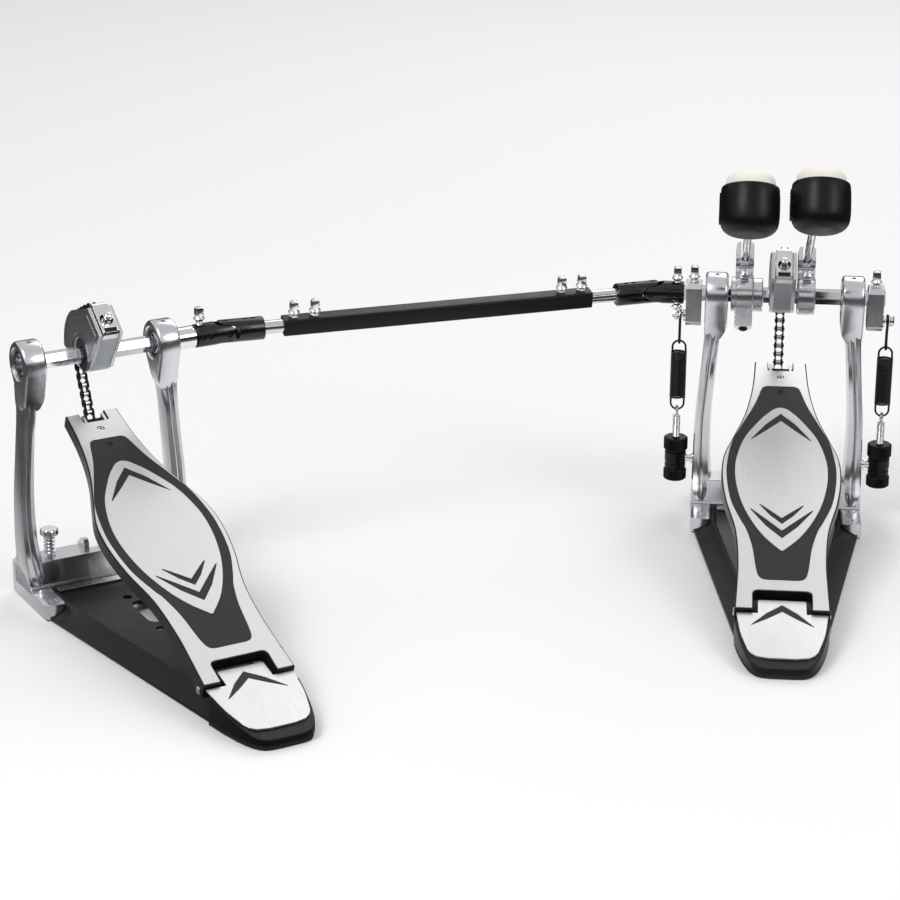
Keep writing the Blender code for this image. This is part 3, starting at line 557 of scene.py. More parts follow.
def stand_foot():
    """Cast foot on the base plate: it follows the plate's flange and carries the anchor screw."""
    low, top = 0.8, 12.4
    section = [(-CHEEK_X, low), (-61.1, low), (-61.1, 3.4), (-48.8, 9.4), (-48.8, 11.4), (-50.2, top),
        (-61.6, top), (-CHEEK_X, 10.4)]
    body = prism(section, "y", -50, 16.8)
    rear = prism([(16.8, 9.4), (16.8, 24), (3, 24), (-10, 20), (-19, 13), (-24, 12.4), (-24, 9.4)], "x",
        -CHEEK_X, -49.5)
    corner = prism([(-64.8, -51), (-57.5, -51), (-59.8, -49.4), (-62.4, -46.6), (-CHEEK_X - 1, -42)], "z",
        -1, 16)
    inner = prism([(-47.8, -51), (-53.5, -51), (-51.2, -49.4), (-49.8, -47.5), (-47.8, -44)], "z", -1, 16)
    hole = rod((-56, -41, 11.4), (-56, -41, 20), 2.6)
    return cut(union(body, rear), corner, inner, hole)


def crossbeam():
    beam = prism([(-20.5, PLATE_TOP + 0.3), (-20.5, 13.6), (-19.5, 14.6), (-17.4, 14.8), (-12.4, 28.2),
        (-11, BEAM_TOP), (9, BEAM_TOP), (12, 26), (12, PLATE_TOP + 0.3)], "x", -CHEEK_X, CHEEK_X)
    flange = box((-44, 44), (-24, -20), (PLATE_TOP + 0.3, PLATE_TOP + 1.8))
    lug = [(-2, 20), (-2, 33.5), (-0.3, 35.6), (2.4, 36), (5.5, 35), (12, 30), (12, 20)]
    lips = [prism(lug, "x", x - 2, x + 2) for x in (-14, 14)]
    return cut(union(beam, flange, *lips), box((-12, 12), (-1.5, 30), (19, 60)))


def bearing(pedal, side, low, high):
    """Races and dark seal of one bearing."""
    add = adder(f"{pedal}_bearing_{side}", "stand_root", PLACES[pedal])
    races = join(ring(low, high, BORE_R - 0.25, 9.4), ring(low, high, 7.6, 6.35))
    add("races", races, STEEL, stands_for=f"{pedal}_bearing_{side}")
    add("seal", ring(low + 0.8, high - 0.8, 9.5, 7.5, 0.1), RUBBER)


def base_and_stand(pedal):
    add = adder(pedal, "stand_root", PLACES[pedal])
    add("plate", base_plate(), PAINT, 0.5, f"{pedal}_base_plate")
    add("heel_body", heel_block(), PLASTIC, 0.9, f"{pedal}_heel_block", "black_board")
    add("heel_ribs", ribbed_foot(), RUBBER, 0.0, f"{pedal}_heel_foot", sharp=20)
    cover = on_heel(prism(heel_plate_outline(), "z", 0, 1.3))
    mark = chevron(-234.6, -257.5, 21.5, 7.6, 1.0)
    sunk = on_heel(prism(mark, "z", 0.9, 4))
    add("heel_cover", cut(cover, sunk), BRUSHED[pedal], 0.25, f"{pedal}_heel_plate")
    add("heel_mark", on_heel(prism(mark, "z", 0.6, 1.05)), INLAY)
    pin = rod((-31.6, PIN_Y, PIN_Z), (31.6, PIN_Y, PIN_Z), 3.0)
    add("pin", pin, OXIDE, 0, f"{pedal}_hinge_pin")
    ends = [turned([(0, 2.9), (1.4, 2.9), (1.9, 2.4)], (x, PIN_Y, PIN_Z), way, 28)
        for x, way in ((-31.5, -X), (31.5, X))]
    add("pin_ends", join(*ends), STEEL)
    front_foot = frame["nodes"][f"{pedal}_front_foot"].data
    front_foot.materials.clear()
    front_foot.materials.append(RUBBER)
    for side in SIDES:
        stands = f"{pedal}_stand" if side == "left" else ()
        add(f"post_{side}", handed(side, post()), CAST, 0.0, stands, sharp=28)
        add(f"housing_{side}", handed(side, housing()), CAST, 0.4)
        add(f"foot_{side}", handed(side, stand_foot()), CAST, 1.0, segments=3)
        screw = moved(socket_screw(0, 0, 0, 2.4), shift((-56 if side == "left" else 56, -41, 11.4)))
        add(f"foot_screw_{side}", screw, CHROME)
    add("crossbeam", crossbeam(), CAST, 0.7)
    bearing(pedal, "left", -57.0, -43.5)
    bearing(pedal, "right", 43.5, 57.0)


# ---------------------------------------------------------------- footboard

def board_rim(outer, inner):
    """The brushed rim between two outlines, as two halves welded so that no face has a hole."""
    path = [(w, a) for a, w in outer] + [(0, outer[-1][0]), (0, inner[-1][0])]
    path += [(w, a) for a, w in reversed(inner)] + [(0, inner[0][0]), (0, outer[0][0])]
    halves = [cut(prism([(side * w, a) for w, a in path], "z", -1.0, 0.0),
        prism(rounded_box(0, 6, 20.6, 13.4, 4.0), "z", -30, 6), prism(rounded_box(0, 284, 9.7, 18.0, 1.5),
        "z", -30, 6), rod((0, 258, -3), (0, 258, 3), 2.6, 20)) for side in (-1, 1)]
    whole = join(*halves)
    seam = [face for face in whole.faces if all(abs(vert.co.x) < 0.005 for vert in face.verts)]
    bmesh.ops.delete(whole, geom=seam, context="FACES")
    bmesh.ops.remove_doubles(whole, verts=whole.verts, dist=0.002)
    return whole


def footboard(pedal):
    to_pedal = board_matrix(pedal)
    add = adder(pedal, f"{pedal}_footboard", PLACES[pedal] @ to_pedal)
    pin = to_pedal.inverted() @ Vector((0, PIN_Y, PIN_Z))
    widths = smooth(BOARD_HALF_WIDTHS, 5)
    heel_notch = prism(rounded_box(0, 6, 20.2, 13, 4.0), "z", -30, 6)
    toe_notch = prism(rounded_box(0, 284, 9.2, 17.5, 1.5), "z", -30, 6)
    shell = prism(both_sides(widths), "z", -BOARD_DEPTH, -0.9)
    hollow_side = [(a, w - 2.6) for a, w in widths if 24 < a < BOARD_LENGTH - 20]
    hollow = prism(both_sides(hollow_side), "z", -BOARD_DEPTH - 5, -3.2)
    ears = [box((low, high), (1.0, 20), (-13, -1)) for low, high in ((20.6, 32.0), (-32.0, -20.6))]
    ear_ends = [moved(rod((low, 0, 0), (high, 0, 0), 5.6), shift(pin))
        for low, high in ((20.6, 32.0), (-32.0, -20.6))]
    spine = box((-1.2, 1.2), (22, 260), (-7.5, -3.0))
    struts = [box((-30, 30), (a - 1.2, a + 1.2), (-7.0, -3.0)) for a in (70, 120, 170, 215)]
    casting = cut(union(cut(shell, hollow), *ears, *ear_ends), heel_notch, toe_notch,
        rod(pin - 50 * X, pin + 50 * X, 3.3))
    add("board_casting", casting, PAINT, 0.5, f"{pedal}_footboard", "black_board")
    inner = prism(both_sides(hollow_side), "z", -20, 0)
    ribs = combine("INTERSECT", union(spine, *struts), [inner])
    add("board_ribs", ribs, PAINT, slot="black_board")
    rim_side = [(min(max(a, 0.7), BOARD_LENGTH - 0.7), w - 0.9) for a, w in widths]
    inlay_side = smooth(INLAY_HALF_WIDTHS, 5)
    add("board_rim", board_rim(rim_side, inlay_side), BRUSHED[pedal], 0.2)
    inlay = prism(both_sides([(a, w - 0.15) for a, w in inlay_side]), "z", -1.0, -0.35)
    add("board_inlay", inlay, INLAY)
    medal = prism(both_sides(smooth(MEDAL_HALF_WIDTHS, 5)), "z", -0.6, 0.05)
    marks = [chevron(213.9, 182.9, 22.2, 8.6), chevron(88.9, 109.7, 16.1, -6.5, 1.2),
        chevron(73.5, 104.5, 22.6, -8.4, 1.2)]
    medal = cut(medal, *[prism(mark, "z", -3, 3) for mark in marks])
    add("board_medallion", medal, BRUSHED[pedal], 0.12)
    for name, along, z, finish in (("front", 258.0, -1.4, STEEL), ("rear", 240.9, -0.8, PLASTIC)):
        add(f"board_screw_{name}", socket_screw(0, along, z, 2.3), finish, slot="steel")
    prongs = [box(sorted((s * 6.3, s * 8.4)), (266.3, 274.6), (-7.4, -0.4)) for s in (-1, 1)]
    add("toe_prongs", join(*prongs), BRUSHED[pedal], 0.4)
    add("toe_pin", rod((-9.5, 272, -4.5), (9.5, 272, -4.5), 1.5, 16), OXIDE)


# ---------------------------------------------------------------- cam and chain

def hex_bar(low, high, flats=HEX_FLATS):
    return prism(circle(0, AXLE, flats / 2 / math.cos(math.radians(30)), 6), "x", low, high)


def from_axle(outline):
    """An outline drawn about the axle, as (y, z) above the floor."""
    return [(y, AXLE + z) for y, z in outline]


def bore(radius, count=32, reach=60):
    """A round bar on the axle line, to cut with."""
    return rod((-reach, 0, AXLE), (reach, 0, AXLE), radius, count)


def cam_outline(edge_r, grow=0.0):
    player_side = [(-14.2 - grow, -7.5 - grow), (-35.9 - grow, 23.6), (-16.5, 38.4 + grow)]
    return from_axle(player_side + arc(0, 0, edge_r, 62, -4, 16) + [(24.5, -4.0), (12, -10), (-6, -11.5)])


def chain_points(pedal):
    """Chain pivots on the cam and the toe pin, as (y, z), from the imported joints."""
    back = PLACES[pedal].inverted()
    spots = [back @ Vector(JOINTS[f"{pedal}_{name}_pivot"]["pos_m"]) for name in ("chain_1", "chain_2",
        "chain_3", "chain_span")]
    toe = board_matrix(pedal) @ Vector((0, 272, -4.5))
    return [Vector((spot.y, spot.z)) for spot in spots], Vector((toe.y, toe.z))


def link_plate(near, far, x_low, x_high, half=2.75, waist=1.75):
    """One figure-of-eight chain plate between two pins."""
    along = (far - near).normalized()
    across = Vector((-along.y, along.x))
    outline = []
    for centre, facing in ((far, 0), (near, 180)):
        base = math.degrees(math.atan2(along.y, along.x)) + facing
        outline += [Vector(point) for point in arc(centre.x, centre.y, half, base - 115, base + 115, 12)]
        outline.append((near + far) / 2 + across * (waist if facing == 0 else -waist))
    return prism([tuple(point) for point in outline], "x", CHAIN_X + x_low, CHAIN_X + x_high)


def link_row(near, far, count, first):
    """Links between two pivots: bright rollers and dark plates, inner and outer by turns."""
    spots = [near.lerp(far, k / count) for k in range(count + 1)]
    plates, rollers = [], []
    for k, (here, after) in enumerate(zip(spots, spots[1:])):
        outer = (first + k) % 2 == 0
        low, high = (2.55, 3.3) if outer else (1.75, 2.5)
        plates += [link_plate(here, after, low, high), link_plate(here, after, -high, -low)]
        rollers.append(rod((CHAIN_X - 1.7, *here), (CHAIN_X + 1.7, *here), 1.95, 16))
        plates.append(rod((CHAIN_X - 3.9, *here), (CHAIN_X + 3.9, *here), 1.05, 12))
    return join(*plates), join(*rollers)


def chain(pedal):
    """The moving parts of the chain, and the links held between the cam's top and its clip."""
    spots, toe = chain_points(pedal)
    place = PLACES[pedal]
    stops = spots + [toe]
    names = ["chain_1", "chain_2", "chain_3", "chain_span"]
    first = 0
    for name, near, far in zip(names, stops, stops[1:]):
        count = round((far - near).length / LINK_PITCH)
        plates, rollers = link_row(near, far, count, first)
        first += count
        body = f"{pedal}_{name}"
        piece(f"{body}_plates", plates, OXIDE, body, place, stands_for=body, sharp=30)
        piece(f"{body}_rollers", rollers, CHROME, body, place, slot="steel", sharp=30)
    held = 4
    top = Vector((-10.5, AXLE + 39.0)) - spots[0]
    plates, rollers = link_row(spots[0] + top.normalized() * LINK_PITCH * held, spots[0], held, 1)
    add = adder(f"{pedal}_chain_end", f"{pedal}_rocker", place)
    add("plates", plates, OXIDE, sharp=30)
    add("rollers", rollers, CHROME, slot="steel", sharp=30)


def cam_plate(low, high, face, way):
    """One side of the cam, with a round pocket at the axle on its outer face."""
    shape = cut(prism(cam_outline(32.0), "x", low, high), hex_bar(-60, 60, HEX_FLATS + 0.5))
    depth = turned([(0, 12.2), (1.6, 11.6)], (face, 0, AXLE), way, 40)
    return cut(shape, depth)


def cam(pedal):
    add = adder(pedal, f"{pedal}_rocker", PLACES[pedal])
    left_in, right_in = CAM_LEFT + 2.5, CAM_RIGHT - 2.5
    plates = join(cam_plate(CAM_LEFT, left_in, CAM_LEFT - 0.01, X), cam_plate(right_in, CAM_RIGHT,
        CAM_RIGHT + 0.01, -X))
    add("cam_sides", plates, CAST, 0.9, f"{pedal}_cam", segments=3)
    web = combine("INTERSECT", prism(circle(0, AXLE, 27.0, 48), "x", left_in - 1, right_in + 1),
        [prism(cam_outline(33.0, -1.6), "x", -30, 30)])
    add("cam_web", cut(web, hex_bar(-60, 60, HEX_FLATS + 0.5)), SATIN)
    face = [(-13.4, -7.5), (-33.2, 20.6), (-29.0, 22.0), (-20, 10), (-8, -7.5)]
    front = prism(from_axle(face), "x", left_in - 0.5, right_in + 0.5)
    add("cam_face", front, SATIN, 0.8)
    # Painted shade: thin dark rings on the floor of each axle pocket stand in for the shadow inside the
    # pockets.
    shade = join(ring(CAM_LEFT + 0.9, CAM_LEFT + 1.7, 11.9, 6.2, 0.2),
        ring(CAM_RIGHT - 1.7, CAM_RIGHT - 0.9, 11.9, 6.2, 0.2))
    add("cam_bushes", shade, RUBBER)
    for name, x_face, out in (("left", CAM_LEFT, -1), ("right", CAM_RIGHT, 1)):
        raised = [(y * 0.78 - 1.5, AXLE + (z - AXLE) * 0.76 + 3.6) for y, z in cam_outline(33.0)]
        low, high = sorted((x_face, x_face + out * 0.4))
        relief = cut(prism(raised, "x", low, high), bore(15.5, 40))
        add(f"cam_relief_{name}", relief, SATIN, 0.25)
    clip(pedal)


def clip(pedal):
    """The channel on the cam's front that clamps the chain's end, with its key bolt."""
    add = adder(pedal, f"{pedal}_rocker", PLACES[pedal])
    low, high = CAM_LEFT + 3.0, CAM_RIGHT - 3.0
    outside = [(-12.0, 32.0), (-32.4, 19.2), (-36.8, 23.6), (-36.0, 26.4), (-17.6, 40.2), (-15.0, 40.6),
        (-11.0, 38.4)]
    channel = prism(from_axle(outside), "x", low, high)
    along = Vector((0, 18.4, 13.8)).normalized()
    normal = Vector((0, -along.z, along.y))
    seat = Vector(((low + high) / 2, -26.8, AXLE + 33.3))
    recess = join(rod((0, -1.5, -3.6), (0, -1.5, 4), 4.7), box((-4.4, 4.4), (-12, -8.6), (-2.2, 4)))
    turn = Matrix((X, along, normal)).transposed().to_4x4()
    moved(recess, shift(seat) @ turn)
    add("clip", cut(channel, recess), CHROME, 0.6, f"{pedal}_chain_clip", segments=3)
    # Painted shade: a thin dark disc and block at the floor of the bolt's counterbore and of the slot below
    # it make them read as shadowed wells.
    dark = join(rod((0, -1.5, -3.9), (0, -1.5, -3.3), 4.6), box((-4.3, 4.3), (-11.9, -8.7), (-2.5, -1.9)))
    moved(dark, shift(seat) @ turn)
    add("clip_wells", dark, RUBBER)
    bolt = key_bolt(seat - 3.4 * normal - 1.5 * along, normal, 0.6, 0.85)
    add("clip_bolt", bolt, CHROME, sharp=30)


# ---------------------------------------------------------------- beaters and hubs

def hub(side, span, body, flanged):
    """Beater hub: a ring on the axle, a neck with its key bolt and a forked grip for the beater's rod."""
    low, high = span
    middle = (low + high) / 2
    add = adder(f"{side}_hub", body, MAIN @ about_axle(LEAN[side]))
    top = 38.0 if flanged else 36.0
    wheel = cut(ring(low, high, 14.0, 4.0, 1.0), hex_bar(-60, 60, HEX_FLATS + 0.5))
    add("ring", wheel, CAST, 0.0, f"{side}_hub", sharp=30)
    neck = box((low + 1.0, high - 1.0), (6, 21), (AXLE - 7.5, AXLE + 3.2))
    cheeks = [box((x - 1.3, x + 1.3), (6, 19), (AXLE - 7.5, AXLE + 6.4)) for x in (low + 1.5, high - 1.5)]
    grip = prism(rounded_box(middle, (19.2 + top) / 2, (high - low) / 2 - 0.1, (top - 19.2) / 2, 2.4, 5),
        "z", AXLE - 8.5, AXLE + 8.5)
    far = AXLE + 40
    scoop = moved(rod((0, 0, -9), (0, 0, 9), 6.6, 32), shift((middle, 19.0,
        AXLE + 10.5)) @ Matrix.Rotation(math.radians(90), 4, "Y"))
    slot = [rod((middle, 26.2, AXLE - 40), (middle, 26.2, far), 3.2, 24),
        box((middle - 3.2, middle + 3.2), (26.2, 60), (AXLE - 40, far))]
    block = cut(union(neck, grip, *cheeks), bore(10), scoop, *slot)
    add("block", block, CAST, 0.8, segments=3)
    bolt = key_bolt((middle, 11.8, AXLE + 2.6), (0, 0.1, 1), 0.6, 1.12)
    add("bolt", bolt, CHROME, sharp=30)
    if flanged:
        rings = join(ring(-39.6, low + 0.5, 13.0, 6.3), ring(high - 0.5, -16.4, 12.6, 6.3, 0.8))
        add("rings", rings, CAST, sharp=30)
        lobe = prism(rounded_box(middle, -18, (high - low) / 2 - 0.3, 8, 3, 5), "z", AXLE - 7, AXLE + 7)
        lobe = cut(lobe, bore(12), rod((middle, -30, AXLE), (middle, -24, AXLE), 3.7))
        add("lobe", lobe, CAST, 0.9)
        tip = turned([(0, 3.3), (2.4, 3.3), (3.6, 2.6), (4.2, 1.0)], (middle, -24.0, AXLE), -Y, 24)
        add("screw", tip, OXIDE)


def beater(side, span, body):
    x = sum(span) / 2
    add = adder(f"{side}_beater", body, MAIN @ about_axle(LEAN[side]))
    height = AXLE + CUP_REACH
    tail, tip = AXLE - 30, height - 20
    shaft = turned([(0, 1.9), (0.9, 2.8), (tip - tail, 2.8)], (x, SHAFT_OFFSET, tail), Z, 24)
    add("rod", shaft, CHROME, 0, f"{side}_beater_shaft")
    x += CUP_SHIFT[side]
    back = SHAFT_OFFSET - 17
    outer = [(0.0, 6.0), (0.15, 11.5), (0.7, 14.2), (1.9, 16.6), (3.6, 18.5), (6.0, 19.9), (9, 20.6),
        (13, 20.95), (20, 21.0), (27, 20.85), (32.6, 20.45), (33.5, 20.2), (34, 19.7), (34, 18.1),
        (33.4, 17.8), (24, 17.8)]
    cup = turned(outer, (x, back, height), Y, 64)
    add("barrel", cup, PLASTIC, 0, f"{side}_beater_cup", sharp=50)
    ribs = [prism(rounded_box(back + 9 + k * 2.4, height, 0.75, 8.5 - abs(k - 4) * 0.8, 0.7, 3), "x",
        x - 21.4, x - 17) for k in range(9)]
    add("ribs", join(*ribs), PLASTIC, 0.25)
    length = 21
    profile = [(0, 17.4), (length - 6, 17.45), (length - 4.4, 17.1), (length - 3, 16.4),
        (length - 1.8, 15.2), (length - 0.9, 13.4), (length - 0.35, 11), (length - 0.08, 7.5), (length, 3)]
    felt = turned(profile, (x, back + 23, height), Y, 64)
    add("pad", felt, FELT, 0, f"{side}_beater_felt", sharp=60)


# ---------------------------------------------------------------- spring gear

def crank(side):
    add = adder(f"{side}_crank", "left_rocker" if side == "left" else "main_rocker", MAIN)
    outline = from_axle([(-8.5, -20.5), (-8.5, 5.5), (-5.5, 9.2), (5.5, 9.2), (8.5, 5.5), (8.5, -20.5),
        (6, -23.6), (-6, -23.6)])
    block = cut(prism(outline, "x", -73.2, -61.4), hex_bar(-90, 90, HEX_FLATS + 0.4),
        box((-80, -50), (-0.5, 0.5), (AXLE + 3, AXLE + 20)))
    add("block", handed(side, block), CAST, 0.7, f"{side}_crank", segments=3)
    bolt = key_bolt((-67.3, 0, AXLE + 9.0), Z, 1.8)
    add("bolt", handed(side, bolt), CHROME, sharp=30)
    stud = turned([(0, 5.2), (1.6, 5.2), (2.0, 2.5), (5.6, 2.5), (5.8, 4.4), (8.0, 4.4), (8.8, 3.2)],
        (-73.0, 0, STUD_Z), -X, 28)
    add("stud", handed(side, stud), CHROME, sharp=30)


def arch(x, z, half, height, radius):
    """A wire loop facing the player, standing up or, for a negative height, hanging."""
    straight = height - math.copysign(half, height)
    over = [(x + half * math.cos(a), 0, z + straight + math.copysign(half, height) * math.sin(a))
        for a in [math.pi * k / 12 for k in range(13)]]
    return tube([(x + half, 0, z)] + over + [(x - half, 0, z)], radius)


def spring(side):
    x = -SPRING_X if side == "left" else SPRING_X
    wound = helix(x, 0, COIL_LOW + WIRE_R, COIL_HIGH - COIL_LOW - 2 * WIRE_R, COIL_R, 22)
    coil = join(tube(wound, WIRE_R, 8), arch(x, COIL_LOW + WIRE_R, COIL_R - 0.4, -9.4, WIRE_R))
    made = piece(f"{side}_coil", coil, OXIDE, None, MAIN, 0, f"{side}_spring_coil", "black_paint", sharp=60)
    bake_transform(made)
    top = COIL_HIGH - WIRE_R
    ring_points = [(x, y, z) for y, z in arc(0, STUD_Z, 3.7, -40, 215, 18)]
    stem = [(x, -2.4, STUD_Z - 4.6), (x, -0.9, STUD_Z - 7.6), (x, 0, STUD_Z - 11), (x, 0, top + 11.5)]
    curl = [(x, y, z) for y, z in arc(0, top + 9.2, 2.3, 70, -240, 11)]
    wire = tube(smooth(ring_points + stem + curl, 2), 1.05, 10)
    piece(f"{side}_hook", join(wire, arch(x, top, COIL_R - 0.4, 8.4, WIRE_R)), OXIDE, f"{side}_spring_top",
        MAIN, 0, f"{side}_spring_hook", "black_paint", sharp=60)


def knurled(x, low, high, radius, count=44):
    """Knurled nut with bevelled rims."""
    rings = []
    for z, shrink, groove in ((low, 1.4, 0), (low + 0.9, 0.2, 0.55), (high - 0.9, 0.2, 0.55),
            (high, 1.4, 0)):
        crests, roots = circle(x, 0, radius - shrink, count * 2), circle(x, 0, radius - shrink - groove,
            count * 2)
        rings.append([(*(roots if k % 2 else crests)[k], z) for k in range(count * 2)])
    return loft(rings)


def adjuster(side):
    """Two knurled nuts, the grooved sleeve between them and the threaded eye bolt that pulls the spring."""
    add = adder(f"{side}_adjuster", "stand_root", MAIN)
    x = -SPRING_X
    nuts = join(knurled(x, 49.6, 59.8, 9.3), knurled(x, 25.8, 34.4, 8.9))
    add("nuts", handed(side, nuts), PLASTIC, 0, f"{side}_spring_adjuster", sharp=20)
    profile = [(34.4, 6.8), (36.0, 6.8), (36.1, 7.9), (38.8, 7.9), (38.9, 7.4), (41.0, 7.4), (41.1, 8.1),
        (47.9, 8.1), (48.0, 7.0), (49.6, 7.0)]
    sleeve = turned([(z - 34.4, radius) for z, radius in profile], (x, 0, 34.4), Z, 40)
    add("sleeve", handed(side, sleeve), PLASTIC, 0, sharp=30)
    threads = [(k * 0.5, 2.85 if k % 2 else 2.45) for k in range(34)]
    bolt = turned([(0, 2.4)] + [(along + 0.2, radius) for along, radius in threads] + [(17.2, 2.2),
        (18.0, 1.4)], (x, 0, 59.6), Z, 24)
    tail = turned([(0, 1.9), (0.6, 2.5), (2.2, 2.5)], (x, 0, 24.4), Z, 20)
    eye = [(x, y, z) for y, z in arc(0, EYE_Z - 1.0, 2.9, 90, -255, 24)]
    add("eye", handed(side, join(bolt, tail, tube(eye, 1.2, 8, closed=True))), STEEL, slot="black_paint",
        sharp=30)
    stud = turned([(0, 3.2), (4.6, 3.2), (4.7, 4.6), (6.6, 4.6), (6.7, 2.6), (7.2, 2.6)], (x + 6.4, 0, 43),
        X, 28)
    add("stud", handed(side, stud), CHROME, sharp=30)


# ---------------------------------------------------------------- drive shaft

def yoke(direction, upright, reach):
    """A fork about its joint centre at the origin, with its barrel towards +X or -X.

    direction is 1 or -1; upright forks have a vertical cross pin, the others a level one.
    """
    tip, slot = 5.6, 5.35
    barrel = turned([(0, 7.6), (0.9, 8.5), (reach + tip - 1.1, 8.5), (reach + tip - 0.3, 8.1),
        (reach + tip, 7.4)], (-tip, 0, 0), X, 48)
    side = arc(0, 0, tip, 90, 270, 18) + [(2.6, -5.8), (5.0, -6.9), (7.6, -9), (reach + 1, -9),
        (reach + 1, 9), (7.6, 9), (5.0, 6.9), (2.6, 5.8)]
    body = combine("INTERSECT", barrel, [prism(side, "z", -12, 12)])
    body = cut(body, box((-20, 4.4), (-12, 12), (-slot, slot)), rod((4.4, -12, 0), (4.4, 12, 0), slot, 32),
        rod((0, 0, -12), (0, 0, 12), 2.45, 20), *[rod((x, 0, 7.4), (x, 0, 12), 1.7, 16)
        for x in (14.5, 20.5)])
    if direction < 0:
        mirrored(body)
    if not upright:
        moved(body, Matrix.Rotation(math.radians(90), 4, "X"))
    return body


def joint_cross():
    """Cross with its four pins, whose ends lie just under the forks' sides."""
    core = prism(rounded_box(0, 0, 3.6, 3.6, 1.0, 3), "z", -3.6, 3.6)
    ends = [(0, 1.2), (0.2, 2.3), (15.4, 2.3), (15.6, 1.2)]
    return join(core, turned(ends, (0, 0, -7.8), Z, 20), turned(ends, (0, -7.8, 0), Y, 20))


def drive():
    left_at = MAIN @ shift((-JOINT_X, 0, AXLE))
    slave_at = PLACES["slave"] @ shift((JOINT_X, 0, AXLE))
    length = (left_at.translation - SHAFT_PLACE.translation).length / MM
    far_end = SHAFT_PLACE @ shift((length, 0, 0))
    piece("left_fork", yoke(1, False, 24.8), NICKEL, "left_rocker", left_at, 0.5, "left_stub_yoke")
    piece("left_stub", hex_bar(-JOINT_X + 20, -17.5), HEX_STEEL, "left_rocker", MAIN, 0.3)
    piece("slave_fork", yoke(-1, False, 24.8), NICKEL, "slave_rocker", slave_at, 0.5, "slave_yoke")
    piece("near_fork", yoke(1, True, 28.4), NICKEL, "drive_shaft", SHAFT_PLACE, 0.5, "shaft_rod_slave")
    piece("far_fork", yoke(-1, True, 28.4), NICKEL, "drive_shaft", far_end, 0.5, "shaft_rod_main")
    rods = join(rod((20, 0, 0), (TUBE_START + 22, 0, 0), 5.0, 32), rod((length - 20, 0, 0),
        (length - 66, 0, 0), 5.0, 32))
    piece("shaft_rods", rods, HEX_STEEL, "drive_shaft", SHAFT_PLACE)
    outer = rounded_box(0, 0, TUBE_SIZE / 2, TUBE_SIZE / 2, 1.6, 5)
    inner = rounded_box(0, 0, TUBE_SIZE / 2 - 0.85, TUBE_SIZE / 2 - 0.85, 1.0, 3)
    body = cut(prism(outer, "x", TUBE_START, TUBE_END), prism(inner, "x", TUBE_START - 5, TUBE_END + 5))
    roll = Matrix.Rotation(math.radians(TUBE_ROLL), 4, "X")
    piece("square_tube", body, PAINT, "drive_shaft", SHAFT_PLACE @ roll, 0.2, "shaft_tube")
    for k, x in enumerate((TUBE_START + 8, TUBE_START + 23.7, TUBE_END - 23.1, TUBE_END - 7.4)):
        bolt = key_bolt((x, 0, TUBE_SIZE / 2 - 0.2), Z, 2.6)
        nut = turned([(-1.0, 3.8), (1.4, 3.8), (1.9, 3.3)], (x, 0, TUBE_SIZE / 2), Z, 6)
        piece(f"tube_bolt_{k + 1}", join(bolt, nut), CHROME, "drive_shaft", SHAFT_PLACE @ roll, sharp=30)
    piece("cross_main_pins", joint_cross(), OXIDE, "cross_main", left_at, 0, "cross_main")
    piece("cross_slave_pins", joint_cross(), OXIDE, "cross_slave", slave_at, 0, "cross_slave")
    for name, way in (("up", Z), ("down", Vector((0, -0.5, -0.866)))):
        bolt = key_bolt(Vector((19.6, 0, 0)) + 7.8 * way, way, 1.8)
        piece(f"left_fork_bolt_{name}", bolt, CHROME, "left_rocker", left_at, sharp=30)
    bolt = key_bolt((-20.0, 0, 7.8), Z, 3.2)
    piece("slave_fork_bolt", bolt, CHROME, "slave_rocker", slave_at, sharp=30)


def axles():
    piece("main_bar", hex_bar(-15.8, 74.5), HEX_STEEL, "main_rocker", MAIN, 0.3, "main_axle")
    place = PLACES["slave"]
    piece("slave_bar", hex_bar(-52, 62), HEX_STEEL, "slave_rocker", place, 0.3, "slave_axle")
    collar = turned([(0, 7.2), (0.5, 8.0), (14.6, 8.0), (15.0, 7.2)], (59.4, 0, AXLE), X, 36)
    piece("slave_collar", collar, CHROME, "slave_rocker", place, slot="steel")


def clamp_and_anchor():
    jaw = [(0, 24), (1.5, 31), (8, 34), (22, 31.5), (27, 28), (27, 24), (20, 25.5), (8, 22.5), (2, 21)]
    piece("jaw", prism(jaw, "x", -11.2, 11.2), PAINT, "hoop_jaw", MAIN, 0.7, "hoop_jaw")
    stem = turned([(0, 2.6), (14, 2.6)], (0, -8, BEAM_TOP + 0.3), Z, 20)
    wings = prism(rounded_box(0, 46, 11, 4.0, 3, 6), "y", -10.2, -5.8)
    piece("wing_screw", join(stem, wings), CHROME, "hoop_screw", MAIN, 0.6, "hoop_screw")
    add = adder("anchor", "anchor_screw", PLACES["slave"])
    x, y, z = -42.0, -2.0, BEAM_TOP + 0.3
    add("spring", tube(helix(x, y, z + 1.0, 13.4, 3.6, 5), 0.75, 8), CHROME, 0, "anchor_screw", sharp=50)
    add("stem", rod((x, y, z), (x, y, z + 17), 1.9, 20), STEEL, slot="chrome")
    add("head", moved(knurled(0, 0, 5.0, 6.8, 28), shift((x, y, z + 15.5))), CHROME, sharp=20)


# ---------------------------------------------------------------- stage

